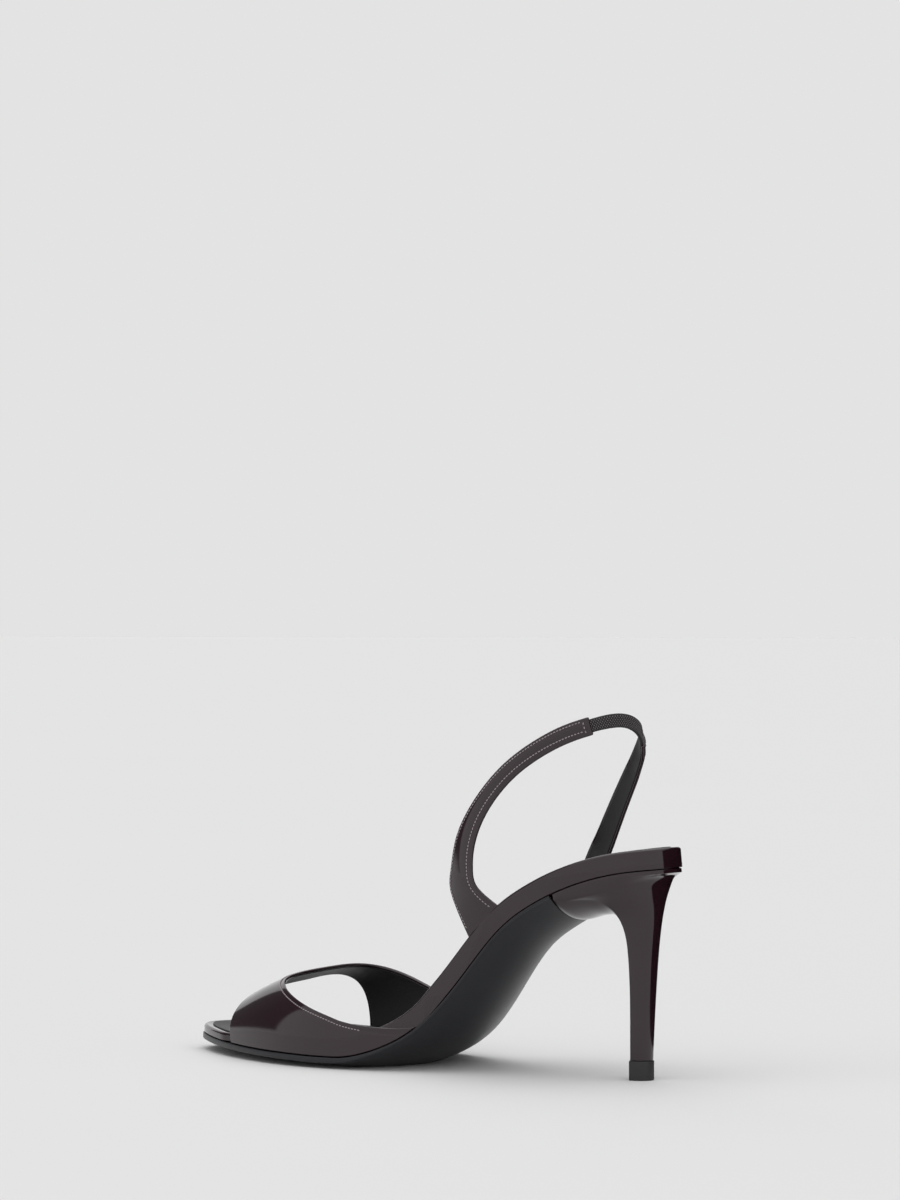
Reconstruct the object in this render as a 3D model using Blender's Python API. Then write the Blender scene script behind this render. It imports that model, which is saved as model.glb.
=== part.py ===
"""High-heeled slingback sandal for the left foot, as separate pieces at their real size.

The shoe stands on its tread and heel tip at z = 0, the toe points to -Y and the lateral side is +X.
Each piece is a closed solid. Sizes are in metres; tables hold shares of the named sizes above them.
"""
import math

import bmesh
import bpy
import numpy as np

# Sole and last
FOOT_LENGTH = 0.215          # toe tip to back of the seat, measured level
BALL_WIDTH = 0.077
SEAT_WIDTH = 0.045
SEAT_HEIGHT = 0.077          # floor to the underside of the footbed at the back
BALL_HEIGHT = 0.0045         # floor to the underside of the footbed at the ball's edge
BELLY = 0.0082               # how far the underside's middle hangs below its edges at the shank
GAP = 0.0003                 # clearance between touching pieces
MERGE = 1e-7                 # points closer than this are one
SHUT = 1e-4                  # a row narrower than this is a round end's point
WAIST = (0.45, 0.80)         # stations between which the reference width goes from ball to seat

# Outsole
TREAD_EDGE = 0.0022          # outsole edge at the forepart
SHANK_EDGE = 0.0010          # outsole edge once it is skived thin at the shank
OUTSOLE_PROUD = 0.0004       # outsole edge beyond the upper
SKIVE = (0.36, 0.54)         # stations between which the edge goes from tread to shank
FLUSH = (0.42, 0.56)         # stations between which the proud edge runs out
OUTSOLE_CHAMFER = 0.0002

# Footbed, the board wrapped in upper leather, and its sock
INSOLE_TOE = 0.0031          # footbed edge at the forepart
BAND_GROWTH = (0.34, 0.52)   # stations between which the edge grows from forepart to band
FOOTBED_BAND = 0.0074        # footbed edge from the shank to the seat
FOOTBED_ROUND = 0.0011       # rounding of the wrapped edge
FOOTBED_DISH = 0.0010        # hollow across the footbed's top
DISH_FADE = 0.06             # share of the length over which the hollow fades at each end
FOOTBED_BELLY = 0.45         # the footbed's share of the belly; outsole and heel add the rest
SOCK_THICKNESS = 0.0009
SOCK_MARGIN = 0.0034         # rim of footbed left round the sock

# Upper
VAMP_WALL = 0.0014
VAMP_HEIGHT = 0.0334         # arch of the vamp above the sole's edge, at the instep
VAMP_RIDGE = 0.0110          # the arch's crest lies this far to the medial side
ARCH_POWER = 3.0             # 2 is an ellipse, more is squarer
RECESS_FRONT = (0.035, 0.004)    # the footbed draws in under the vamp from this far ahead of its
RECESS_REAR = (0.004, 0.050)     # front edge, and comes out again behind its rear edge (stations)
STRAP_WALL = 0.0016
STRAP_WIDTH = 0.0075         # sling straps at their upper ends
STRAP_INSET = 0.0008         # strap's foot inside the footbed's edge
SLING_RISE = 0.0450          # seat top to the highest line of the sling
ELASTIC_WIDTH = 0.0054
ELASTIC_WALL = 0.0013
VAMP_EDGE_BULGE = 0.06       # rounding of the long edges, as a share of a band of the strip
STRAP_EDGE_BULGE = 0.08

# Heel
HEEL_TIP_WIDTH = 0.0092
HEEL_TIP_LENGTH = 0.0062     # side corner of the breast to the back, at the tip
HEEL_TIP_BACK = 0.2047       # station of the tip's back, from the toe
HEEL_BREAST = 0.1765         # station of the lip's side corners, from the toe
HEEL_INSET = 0.0003          # heel's top inside the footbed's edge
LIP_BOW = 0.0040             # the lip's middle reaches this far forward of its corners
LIP_EDGE = 0.0015            # height of the lip's edge under the footbed
LIFT_HEIGHT = 0.0070         # floor to the top of the rubber top piece
LIFT_PROUD = 0.0004          # top piece beyond the stem
LIFT_BEVEL = 0.0008
STEM_ROUND = 0.9             # 1 makes the stem's back a half ellipse, less is squarer

# Sole sections: share of length, rise of the footbed's underside, fullness of the lateral and medial
# side (half width over that of an ellipse), belly across the underside
SOLE_SECTIONS = (
    (0.00, 0.030, 0.400, 0.530, 0.00),
    (0.03, 0.027, 0.415, 0.575, 0.07),
    (0.08, 0.021, 0.455, 0.592, 0.18),
    (0.16, 0.012, 0.500, 0.588, 0.30),
    (0.26, 0.005, 0.531, 0.578, 0.38),
    (0.36, 0.000, 0.527, 0.510, 0.43),
    (0.44, 0.006, 0.489, 0.450, 0.60),
    (0.50, 0.058, 0.453, 0.410, 0.76),
    (0.56, 0.165, 0.430, 0.384, 0.90),
    (0.63, 0.390, 0.432, 0.368, 0.96),
    (0.70, 0.640, 0.488, 0.398, 1.00),
    (0.78, 0.808, 0.626, 0.532, 1.00),
    (0.86, 0.912, 0.745, 0.688, 0.68),
    (0.94, 0.978, 0.855, 0.810, 0.18),
    (1.00, 1.000, 0.930, 0.900, 0.00),
)
# Vamp edges: angle over the arch from the lateral base (degrees), station of front and of rear edge
VAMP_EDGES = (
    (0, 0.149, 0.565),
    (20, 0.143, 0.450),
    (31, 0.145, 0.352),
    (42, 0.149, 0.284),
    (55, 0.155, 0.242),
    (90, 0.178, 0.247),
    (125, 0.212, 0.288),
    (138, 0.222, 0.338),
    (149, 0.227, 0.402),
    (160, 0.230, 0.469),
    (180, 0.232, 0.538),
)
# Vamp arch: station, height as a share of VAMP_HEIGHT
VAMP_ARCH = (
    (0.05, 0.16),
    (0.10, 0.40),
    (0.15, 0.59),
    (0.20, 0.745),
    (0.30, 0.925),
    (0.40, 0.990),
    (0.60, 1.000),
)
# Sling path from the lateral foot round the heel to the medial foot: side as a share of half the seat
# width, station, height as a share of the way from floor to the sling's highest line, width as a
# share of STRAP_WIDTH, and the compass direction that the strap faces (degrees from lateral to back)
SLING_PATH = (
    (1.062, 0.6450, 0.5150, 1.90, 0),
    (1.062, 0.6385, 0.5780, 1.50, 2),
    (1.031, 0.6438, 0.6550, 1.25, 4),
    (0.991, 0.6675, 0.7440, 1.01, 7),
    (0.907, 0.7085, 0.8335, 0.91, 10),
    (0.827, 0.7600, 0.9025, 0.89, 12),
    (0.738, 0.8200, 0.9560, 0.90, 15),
    (0.640, 0.8744, 0.9870, 0.90, 27),
    (0.480, 0.9037, 1.0000, 0.94, 48),
    (0.222, 0.9200, 1.0000, 0.94, 74),
    (-0.089, 0.9233, 0.9800, 0.94, 100),
    (-0.356, 0.9120, 0.9480, 0.92, 132),
    (-0.540, 0.8940, 0.9110, 0.90, 160),
    (-0.622, 0.8800, 0.8780, 0.90, 173),
    (-0.729, 0.8620, 0.8400, 0.96, 179),
    (-0.831, 0.8290, 0.7508, 1.05, 182),
    (-0.893, 0.7990, 0.6579, 1.16, 183),
    (-0.915, 0.7845, 0.6120, 1.25, 183),
)
LATERAL_FOOT = (0.675, 0.730)    # stations where the lateral strap meets the footbed's edge
MEDIAL_FOOT = (0.748, 0.812)     # and the medial strap
LATERAL_END = 7                  # place on the sling path where the lateral strap ends
MEDIAL_END = 11                  # and where the medial strap begins

# Heel sections from the seat down: place of the side corner of the breast (0 at the tip, 1 at the
# lip), its height, place of the back (0 at the tip, 1 at the seat), its height, flare of the
# width, bow of the breast forward and down (metres), and how far the outline has turned from the
# seat's to the stem's. Heights are shares of the way from the top piece to the seat
HEEL_SECTIONS = (
    (0.880, 0.821, 0.750, 0.958, 0.920, 0.0000, 0.0074, 0.05),
    (0.640, 0.828, 0.600, 0.932, 0.830, 0.0008, 0.0066, 0.16),
    (0.400, 0.830, 0.520, 0.894, 0.660, 0.0016, 0.0060, 0.36),
    (0.235, 0.803, 0.455, 0.843, 0.450, 0.0022, 0.0042, 0.62),
    (0.115, 0.748, 0.385, 0.770, 0.265, 0.0025, 0.0019, 0.86),
    (0.035, 0.669, 0.305, 0.683, 0.160, 0.0023, 0.0006, 1.00),
    (-0.010, 0.555, 0.210, 0.558, 0.108, 0.0021, 0.0000, 1.00),
    (-0.022, 0.384, 0.125, 0.384, 0.062, 0.0019, 0.0000, 1.00),
    (-0.014, 0.182, 0.050, 0.182, 0.028, 0.0018, 0.0000, 1.00),
    (0.000, 0.000, 0.000, 0.000, 0.000, 0.0017, 0.0000, 1.00),
)

# Levels of the footbed from the bottom up: face (0 underside, 1 top), rise and inset as shares of
# FOOTBED_ROUND, and whether its middle sinks by the belly or by the hollow
FOOTBED_LEVELS = (
    (0, 0.0, 0.8, 1, 0),
    (0, 0.8, 0.0, 0, 0),
    (1, -0.9, 0.0, 0, 0),
    (1, -0.3, 0.3, 0, 0),
    (1, 0.0, 1.0, 0, 1),
)
# Levels of the outsole from the bottom up: depth as a share of the edge, inset as a share of
# OUTSOLE_CHAMFER, belly share of the drop (the rest follows the footbed)
OUTSOLE_LEVELS = (
    (1.0, 1.0, 1.0),
    (0.75, 0.0, 1.0),
    (0.25, 0.0, 0.0),
    (0.0, 1.0, 0.0),
)
# Levels of the top piece from the floor up: share of its height, inset as a share of LIFT_BEVEL
LIFT_LEVELS = (
    (0.00, 0.2),
    (0.12, 0.0),
    (0.91, 0.0),
    (1.00, 0.25),
)

# How finely the surfaces are divided
SOLE_ROWS = 30
SOLE_COLUMNS = 6
VAMP_STEPS = 44
VAMP_BANDS = 7
STRAP_STEPS_PER_ROW = 3
STRAP_BANDS = 2
HEEL_ROWS = 9
HEEL_COLUMNS = 6
HEEL_STEPS_PER_ROW = 2
SHARP_ANGLE = 40.0           # degrees; flatter joins are shaded smooth
# Small steps used to find slopes: along the sole, along its outline, over the arch, along the sling
SLOPE_STEP = 0.002
OUTLINE_STEP = 0.0005
ARCH_STEP = 1e-4
PATH_STEP = 0.01

# Materials: sRGB colour, roughness, metallic
FINISHES = {
    "patent_leather": ((0.16, 0.10, 0.11), 0.08, 0.0),
    "sole_leather": ((0.10, 0.11, 0.13), 0.40, 0.0),
    "lining_leather": ((0.17, 0.17, 0.18), 0.60, 0.0),
    "elastic": ((0.13, 0.12, 0.12), 0.85, 0.0),
    "rubber": ((0.07, 0.07, 0.07), 0.50, 0.0),
}


def column(table, index):
    """One named column of a table as an array."""
    return np.array([row[index] for row in table], dtype=float)


def spline(places, values, at):
    """Natural cubic spline through (places, values), read at the given places."""
    places = np.asarray(places, dtype=float)
    values = np.asarray(values, dtype=float)
    at = np.clip(np.asarray(at, dtype=float), places[0], places[-1])
    count = len(places)
    step = np.diff(places)
    matrix = np.eye(count)
    right = np.zeros(count)
    for i in range(1, count - 1):
        matrix[i, i - 1:i + 2] = step[i - 1], 2 * (step[i - 1] + step[i]), step[i]
        right[i] = 6 * ((values[i + 1] - values[i]) / step[i] - (values[i] - values[i - 1]) / step[i - 1])
    bend = np.linalg.solve(matrix, right)
    i = np.clip(np.searchsorted(places, at, side="right") - 1, 0, count - 2)
    left = (places[i + 1] - at) / step[i]
    rest = 1 - left
    curve = (left ** 3 - left) * bend[i] + (rest ** 3 - rest) * bend[i + 1]
    return left * values[i] + rest * values[i + 1] + curve * step[i] ** 2 / 6


def ramp(low, high, at):
    """Smooth step from 0 at low to 1 at high."""
    share = np.clip((np.asarray(at, dtype=float) - low) / (high - low), 0.0, 1.0)
    return share * share * (3 - 2 * share)


def sole_column(index, share):
    """A column of SOLE_SECTIONS at any share of the length."""
    return spline(column(SOLE_SECTIONS, 0), column(SOLE_SECTIONS, index), share)


def base_height(share):
    """Height of the footbed's underside at its edge."""
    return BALL_HEIGHT + np.maximum(sole_column(1, share), 0.0) * (SEAT_HEIGHT - BALL_HEIGHT)


def base_normal(share):
    """Upward normal of the footbed's underside in the lengthwise plane, as its y and z parts."""
    low = np.clip(share - SLOPE_STEP, 0.0, 1.0)
    high = np.clip(share + SLOPE_STEP, 0.0, 1.0)
    slope = (base_height(high) - base_height(low)) / ((high - low) * FOOT_LENGTH)
    size = np.sqrt(1 + slope * slope)
    return -slope / size, 1 / size


def half_width(side, share):
    """Plan half width of the last at a station, lateral for side 1 and medial for side -1."""
    reference = BALL_WIDTH + (SEAT_WIDTH - BALL_WIDTH) * ramp(*WAIST, share)
    fullness = sole_column(2 if side > 0 else 3, share)
    return fullness * reference * 2 * np.sqrt(np.clip(share * (1 - share), 0.0, None))


def belly(share):
    """Drop of the underside's middle below its edges."""
    return BELLY * np.maximum(sole_column(4, share), 0.0)


def footbed_belly(share):
    """The part of that drop which the footbed has itself."""
    return FOOTBED_BELLY * belly(share)


def dish(share):
    """Hollow of the footbed's top in the middle."""
    return FOOTBED_DISH * ramp(0.0, DISH_FADE, share) * (1 - ramp(1 - DISH_FADE, 1.0, share))


def band(share):
    """Thickness of the footbed's edge."""
    return INSOLE_TOE + (FOOTBED_BAND - INSOLE_TOE) * ramp(*BAND_GROWTH, share)


def lift(x, y, height):
    """Points at plan place (x, y), raised from the footbed's underside along its normal."""
    share = np.clip(y / FOOT_LENGTH, 0.0, 1.0)
    normal_y, normal_z = base_normal(share)
    return np.stack([x + 0 * height, y + normal_y * height, base_height(share) + normal_z * height], axis=-1)


def outline(side, share, inset):
    """Plan outline of one side at the given stations, moved inward by inset."""
    low = np.clip(share - OUTLINE_STEP, 0.0, 1.0)
    high = np.clip(share + OUTLINE_STEP, 0.0, 1.0)
    run_x = half_width(side, high) - half_width(side, low)
    ends = (share <= 0.0) | (share >= 1.0)
    run_y = np.where(ends, 0.0, (high - low) * FOOT_LENGTH)
    size = np.hypot(run_x, run_y)
    x = half_width(side, share) - inset * run_y / size
    y = share * FOOT_LENGTH + inset * run_x / size
    return side * np.maximum(x, 0.0), y


def vamp_window(side, share):
    """1 where the vamp covers the footbed's side, 0 where the footbed's edge shows."""
    _, front, rear = VAMP_EDGES[0] if side > 0 else VAMP_EDGES[-1]
    entry = ramp(front - RECESS_FRONT[0], front - RECESS_FRONT[1], share)
    return entry * (1 - ramp(rear + RECESS_REAR[0], rear + RECESS_REAR[1], share))


def footbed_inset(side, share):
    """The footbed's edge lies inside the last's outline where the vamp passes over it."""
    return (VAMP_WALL + GAP) * vamp_window(side, share)


def stations(count):
    """Stations from toe to seat, closer together at the round ends."""
    return 0.5 - 0.5 * np.cos(np.linspace(0.0, math.pi, count + 1))


def plan_grid(share, lateral_inset, medial_inset, columns):
    """Rows of plan points across the sole, from the lateral outline to the medial one."""
    lateral = np.stack(outline(1, share, lateral_inset), axis=-1)
    medial = np.stack(outline(-1, share, medial_inset), axis=-1)
    across = np.linspace(0.0, 1.0, columns + 1)[None, :, None]
    return lateral[:, None, :] * (1 - across) + medial[:, None, :] * across


def crown(columns):
    """1 in the middle of each row and 0 at its ends."""
    across = np.linspace(-1.0, 1.0, columns + 1)
    return 1 - across[None, :] ** 2


def level(grid, height):
    """A plan grid raised to a height above the footbed's underside."""
    return lift(grid[..., 0], grid[..., 1], height + 0 * grid[..., 0])


def perimeter(rows, columns):
    """Grid indices round the edge of a grid, in order."""
    index = np.arange(rows * columns).reshape(rows, columns)
    return np.concatenate([index[0, :-1], index[:-1, -1], index[-1, :0:-1], index[:0:-1, 0]])


def grid_faces(rows, columns, start):
    """Four-cornered faces of a grid whose first vertex is start."""
    index = np.arange(rows * columns).reshape(rows, columns) + start
    corners = [index[:-1, :-1], index[:-1, 1:], index[1:, 1:], index[1:, :-1]]
    return np.stack(corners, axis=-1).reshape(-1, 4)


def loop_faces(first, second):
    """Faces between two closed loops of vertices."""
    return np.stack([first, np.roll(first, -1), np.roll(second, -1), second], axis=-1)


def close_ends(grid):
    """Make each row that has shrunk to nothing in plan exactly one point."""
    shut = np.ptp(grid[..., :2], axis=1).max(axis=1) < SHUT
    grid[shut] = grid[shut].mean(axis=1, keepdims=True)
    return grid


def stack_solid(name, levels, finish):
    """Closed solid from grids of one shape: the first and last are caps, their edges are walls."""
    levels = [close_ends(grid) for grid in levels]
    rows, columns = levels[0].shape[:2]
    size = rows * columns
    edge = perimeter(rows, columns)
    points = np.concatenate([grid.reshape(-1, 3) for grid in levels])
    last = (len(levels) - 1) * size
    faces = [grid_faces(rows, columns, 0), grid_faces(rows, columns, last)]
    for i in range(len(levels) - 1):
        faces.append(loop_faces(edge + i * size, edge + (i + 1) * size))
    return add_solid(name, points, np.concatenate(faces), finish)


def strip_solid(name, outer, inner, rounding, finish):
    """Closed solid between two grids, a strip's outer and inner face, with rounded long edges."""
    steps, bands = outer.shape[:2]
    middle = (outer + inner) / 2
    near = middle[:, 0] + (outer[:, 0] - outer[:, 1]) * rounding
    far = middle[:, -1] + (outer[:, -1] - outer[:, -2]) * rounding
    ring = np.concatenate([outer, far[:, None], inner[:, ::-1], near[:, None]], axis=1)
    count = ring.shape[1]
    index = np.arange(steps * count).reshape(steps, count)
    faces = [loop_faces(index[i], index[i + 1]) for i in range(steps - 1)]
    for row in (index[0], index[-1]):
        pairs = [(row[j], row[j + 1], row[count - 3 - j], row[count - 2 - j]) for j in range(bands - 1)]
        ends = [(row[bands - 1], row[bands], row[bands + 1], row[bands + 1])]
        ends.append((row[0], row[count - 2], row[count - 1], row[count - 1]))
        faces.append(np.array(pairs + ends))
    return add_solid(name, ring.reshape(-1, 3), np.concatenate(faces), finish)


def add_solid(name, points, faces, finish):
    """A mesh object from points and faces, with doubled points merged and collapsed faces left out."""
    keys = np.round(points / MERGE).astype(np.int64)
    _, first, back = np.unique(keys, axis=0, return_index=True, return_inverse=True)
    merged = back.reshape(-1)[faces]
    clean = []
    for face in merged.tolist():
        corners = [corner for k, corner in enumerate(face) if corner != face[k - 1]]
        if len(set(corners)) >= 3:
            clean.append(corners)
    mesh = bpy.data.meshes.new(name)
    mesh.from_pydata(points[first].tolist(), [], clean)
    work = bmesh.new()
    work.from_mesh(mesh)
    loose = [vertex for vertex in work.verts if not vertex.link_faces]
    bmesh.ops.delete(work, geom=loose, context="VERTS")
    bmesh.ops.recalc_face_normals(work, faces=work.faces)
    work.to_mesh(mesh)
    work.free()
    mesh.shade_smooth()
    mesh.set_sharp_from_angle(angle=math.radians(SHARP_ANGLE))
    mesh.materials.append(material(finish))
    piece = bpy.data.objects.new(name, mesh)
    bpy.context.scene.collection.objects.link(piece)
    return piece


def material(finish):
    """The Principled material of a finish, made once."""
    if finish in bpy.data.materials:
        return bpy.data.materials[finish]
    colour, roughness, metallic = FINISHES[finish]
    made = bpy.data.materials.new(finish)
    made.use_nodes = True
    shader = made.node_tree.nodes["Principled BSDF"]
    shader.inputs["Base Color"].default_value = [channel ** 2.2 for channel in colour] + [1.0]
    shader.inputs["Roughness"].default_value = roughness
    shader.inputs["Metallic"].default_value = metallic
    return made


def footbed_grid(share, inset):
    """Plan rows of the footbed, drawn in by inset and by the recess under the vamp."""
    lateral = footbed_inset(1, share) + inset
    medial = footbed_inset(-1, share) + inset
    return plan_grid(share, lateral, medial, SOLE_COLUMNS)


def build_footbed():
    """Wrapped board: an outline with rounded edges, dished on top and bellied underneath."""
    levels = []
    for face, rise, inset, bellied, hollowed in FOOTBED_LEVELS:
        grid = footbed_grid(stations(SOLE_ROWS), inset * FOOTBED_ROUND)
        at = np.clip(grid[..., 1] / FOOT_LENGTH, 0.0, 1.0)
        sink = (bellied * footbed_belly(at) + hollowed * dish(at)) * crown(SOLE_COLUMNS)
        levels.append(level(grid, rise * FOOTBED_ROUND + face * band(at) - sink))
    return stack_solid("footbed", levels, "patent_leather")


def footbed_top(x, y):
    """Height above the footbed's underside of the footbed's top, for plan points off its edge."""
    share = np.clip(y / FOOT_LENGTH, 0.0, 1.0)
    lateral = half_width(1, share)
    medial = half_width(-1, share)
    half = np.maximum((lateral + medial) / 2, GAP)
    hump = np.clip(1 - ((x - (lateral - medial) / 2) / half) ** 2, 0.0, 1.0)
    return band(share) - dish(share) * hump


def build_sock():
    """Thin leather sock laid on the footbed, clear of the straps' feet."""
    grid = footbed_grid(stations(SOLE_ROWS), SOCK_MARGIN)
    bottom = footbed_top(grid[..., 0], grid[..., 1]) + GAP
    levels = [level(grid, bottom), level(grid, bottom + SOCK_THICKNESS)]
    return stack_solid("sock_lining", levels, "lining_leather")


def lip_line(columns):
    """Stations of the heel's breast line across the sole: straight, with a bow forward."""
    return HEEL_BREAST - LIP_BOW * crown(columns)[0]


def build_outsole():
    """Leather sole: flush under the upper, flat at the tread, bellied and skived thin at the shank."""
    corner = HEEL_BREAST / FOOT_LENGTH
    end = (lip_line(SOLE_COLUMNS) - 2 * GAP) / FOOT_LENGTH
    reach = np.arccos(1 - 2 * corner) * np.linspace(0.0, 1.0, SOLE_ROWS + 1)
    share = 0.5 - 0.5 * np.cos(reach)
    proud = OUTSOLE_PROUD * (1 - ramp(*FLUSH, share))
    levels = []
    for depth, inset, full in OUTSOLE_LEVELS:
        edge_inset = inset * OUTSOLE_CHAMFER - proud
        grid = plan_grid(share, edge_inset, edge_inset, SOLE_COLUMNS)
        grid[..., 1] = grid[..., 1] * end[None, :] / corner
        at = np.clip(grid[..., 1] / FOOT_LENGTH, 0.0, 1.0)
        edge = TREAD_EDGE + (SHANK_EDGE - TREAD_EDGE) * ramp(*SKIVE, at)
        drop = full * belly(at) + (1 - full) * footbed_belly(at)
        points = level(grid, -GAP - edge * depth - drop * crown(SOLE_COLUMNS))
        points[..., 2] = np.maximum(points[..., 2], 0.0)
        levels.append(points)
    return stack_solid("outsole", levels, "sole_leather")


def arch(angle, share):
    """Outer face of the vamp: a squarish arch over the last at a station, from base to base."""
    height = VAMP_HEIGHT * spline(column(VAMP_ARCH, 0), column(VAMP_ARCH, 1), share)
    cosine = np.cos(angle)
    sine = np.maximum(np.sin(angle), 0.0)
    radius = (np.abs(cosine) ** ARCH_POWER + sine ** ARCH_POWER) ** (1 / ARCH_POWER)
    lateral = half_width(1, share) + VAMP_RIDGE
    medial = half_width(-1, share) - VAMP_RIDGE
    reach = np.where(cosine > 0, lateral, medial)
    x = reach * cosine / radius - VAMP_RIDGE
    z = base_height(share) + height * sine / radius
    return np.stack([x, share * FOOT_LENGTH + 0 * x, z], axis=-1)


def inward(grid, along, across, wall):
    """A grid moved by the wall's thickness against the surface normal, which along x across gives."""
    normal = np.cross(along, across)
    normal = normal / np.linalg.norm(normal, axis=-1, keepdims=True)
    return grid - wall * normal


def build_vamp():
    """Diagonal strap over the toes, one wall from the lateral to the medial base."""
    angle = np.linspace(0.0, 180.0, VAMP_STEPS + 1)
    front = spline(column(VAMP_EDGES, 0), column(VAMP_EDGES, 1), angle)
    rear = spline(column(VAMP_EDGES, 0), column(VAMP_EDGES, 2), angle)
    across = np.linspace(0.0, 1.0, VAMP_BANDS + 1)[None, :]
    turn = np.radians(angle)[:, None] + 0 * across
    share = front[:, None] * (1 - across) + rear[:, None] * across
    outer = arch(turn, share)
    before = arch(np.clip(turn - ARCH_STEP, 0, math.pi), share)
    after = arch(np.clip(turn + ARCH_STEP, 0, math.pi), share)
    length = arch(turn, share - ARCH_STEP) - arch(turn, share + ARCH_STEP)
    inner = inward(outer, before - after, length, VAMP_WALL)
    return strip_solid("vamp", outer, inner, VAMP_EDGE_BULGE, "patent_leather")


def sling(place):
    """Centre, width and facing of the sling at places along its path."""
    rows = np.arange(len(SLING_PATH))
    seat_top = SEAT_HEIGHT + FOOTBED_BAND
    values = [spline(rows, column(SLING_PATH, i), place) for i in range(5)]
    x = values[0] * SEAT_WIDTH / 2
    y = values[1] * FOOT_LENGTH
    z = values[2] * (seat_top + SLING_RISE)
    return np.stack([x, y, z], axis=-1), values[3] * STRAP_WIDTH, np.radians(values[4])


def sling_run(place):
    """Direction of the sling's path, as long as the path runs in one step of place."""
    ahead, _, _ = sling(place + PATH_STEP)
    behind, _, _ = sling(place - PATH_STEP)
    return (ahead - behind) / (2 * PATH_STEP)


def sling_strip(place, width_share, wall):
    """Outer and inner face of a stretch of the sling."""
    centre, width, facing = sling(place)
    run = sling_run(place)
    run = run / np.linalg.norm(run, axis=-1, keepdims=True)
    out = np.stack([np.cos(facing), np.sin(facing), 0 * facing], axis=-1)
    across = np.cross(out, run)
    across = across / np.linalg.norm(across, axis=-1, keepdims=True)
    out = np.cross(run, across)
    bands = np.linspace(-0.5, 0.5, STRAP_BANDS + 1)[None, :, None]
    outer = centre[:, None] + across[:, None] * bands * (width * width_share)[:, None, None]
    return outer, outer - wall * out[:, None]


def strap_foot(side, foot):
    """Outer and inner face of the strap where it stands on the footbed, just inside its edge."""
    bands = np.linspace(0.0, 1.0, STRAP_BANDS + 1)
    share = foot[1] + (foot[0] - foot[1]) * bands
    faces = []
    for depth in (STRAP_INSET, STRAP_INSET + STRAP_WALL):
        x, y = outline(side, share, depth + footbed_inset(side, share))
        faces.append(lift(x, y, band(share) + GAP))
    return faces


def smooth_rows(rows, steps):
    """Rows of points joined by natural splines, with so many steps between two rows."""
    knots = np.arange(len(rows))
    places = np.linspace(0.0, knots[-1], knots[-1] * steps + 1)
    lines = rows.reshape(len(rows), -1)
    smooth = np.stack([spline(knots, lines[:, i], places) for i in range(lines.shape[1])], axis=-1)
    return smooth.reshape(-1, *rows.shape[1:])


def build_strap(name, side, foot, first, last):
    """One sling strap, from its foot on the footbed to the end that holds the elastic."""
    faces = sling_strip(np.arange(first, last + 1), 1.0, STRAP_WALL)
    feet = strap_foot(side, foot)
    for i in range(2):
        ends = [feet[i][None], faces[i]] if side > 0 else [faces[i], feet[i][None]]
        feet[i] = smooth_rows(np.concatenate(ends), STRAP_STEPS_PER_ROW)
    return strip_solid(name, feet[0], feet[1], STRAP_EDGE_BULGE, "patent_leather")


def build_sling():
    """Two leather straps and the elastic between their ends round the back of the heel."""
    last = len(SLING_PATH) - 1
    build_strap("sling_strap_lateral", 1, LATERAL_FOOT, 0, LATERAL_END)
    build_strap("sling_strap_medial", -1, MEDIAL_FOOT, MEDIAL_END, last)
    start = LATERAL_END + GAP / np.linalg.norm(sling_run(np.array(LATERAL_END)))
    stop = MEDIAL_END - GAP / np.linalg.norm(sling_run(np.array(MEDIAL_END)))
    count = int(round((stop - start) * STRAP_STEPS_PER_ROW)) + 1
    place = np.linspace(start, stop, count)
    outer, inner = sling_strip(place, ELASTIC_WIDTH / STRAP_WIDTH, ELASTIC_WALL)
    strip_solid("elastic", outer, inner, STRAP_EDGE_BULGE, "elastic")


def heel_plan(inset):
    """Angle round the back of each heel row, and the seat's lateral and medial outline there."""
    turn = np.linspace(0.0, math.pi / 2, HEEL_ROWS + 1)
    share = (HEEL_BREAST + (FOOT_LENGTH - HEEL_BREAST) * np.sin(turn)) / FOOT_LENGTH
    return turn, outline(1, share, inset), outline(-1, share, inset)


def heel_grid(corner, corner_z, back, back_z, flare, bow, drop, turned):
    """One section of the heel: breast line, side corners and the round back, as a grid of rows."""
    tip_corner = HEEL_TIP_BACK - HEEL_TIP_LENGTH
    front_y = tip_corner + corner * (HEEL_BREAST - tip_corner)
    rear_y = HEEL_TIP_BACK + back * (FOOT_LENGTH - HEEL_INSET - HEEL_TIP_BACK)
    half = HEEL_TIP_WIDTH / 2 + flare * (SEAT_WIDTH - HEEL_TIP_WIDTH) / 2
    turn, lateral, medial = heel_plan(HEEL_INSET)
    y = front_y + (rear_y - front_y) * np.sin(turn)
    stem = SEAT_HEIGHT - LIFT_HEIGHT - GAP
    z = LIFT_HEIGHT + GAP + (corner_z + (back_z - corner_z) * np.sin(turn)) * stem
    round_half = half * np.cos(turn) ** STEM_ROUND
    edges = []
    for side, seat in ((1, lateral[0]), (-1, medial[0])):
        seat_half = np.abs(seat) * half / (SEAT_WIDTH / 2)
        x = side * (seat_half * (1 - turned) + round_half * turned)
        edges.append(np.stack([x, y, z], axis=-1))
    mix = np.linspace(0.0, 1.0, HEEL_COLUMNS + 1)[None, :, None]
    grid = edges[0][:, None] * (1 - mix) + edges[1][:, None] * mix
    breast = grid[:1].copy()
    breast[..., 1] -= bow * crown(HEEL_COLUMNS)
    breast[..., 2] -= drop * crown(HEEL_COLUMNS)
    return np.concatenate([breast, grid])


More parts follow.
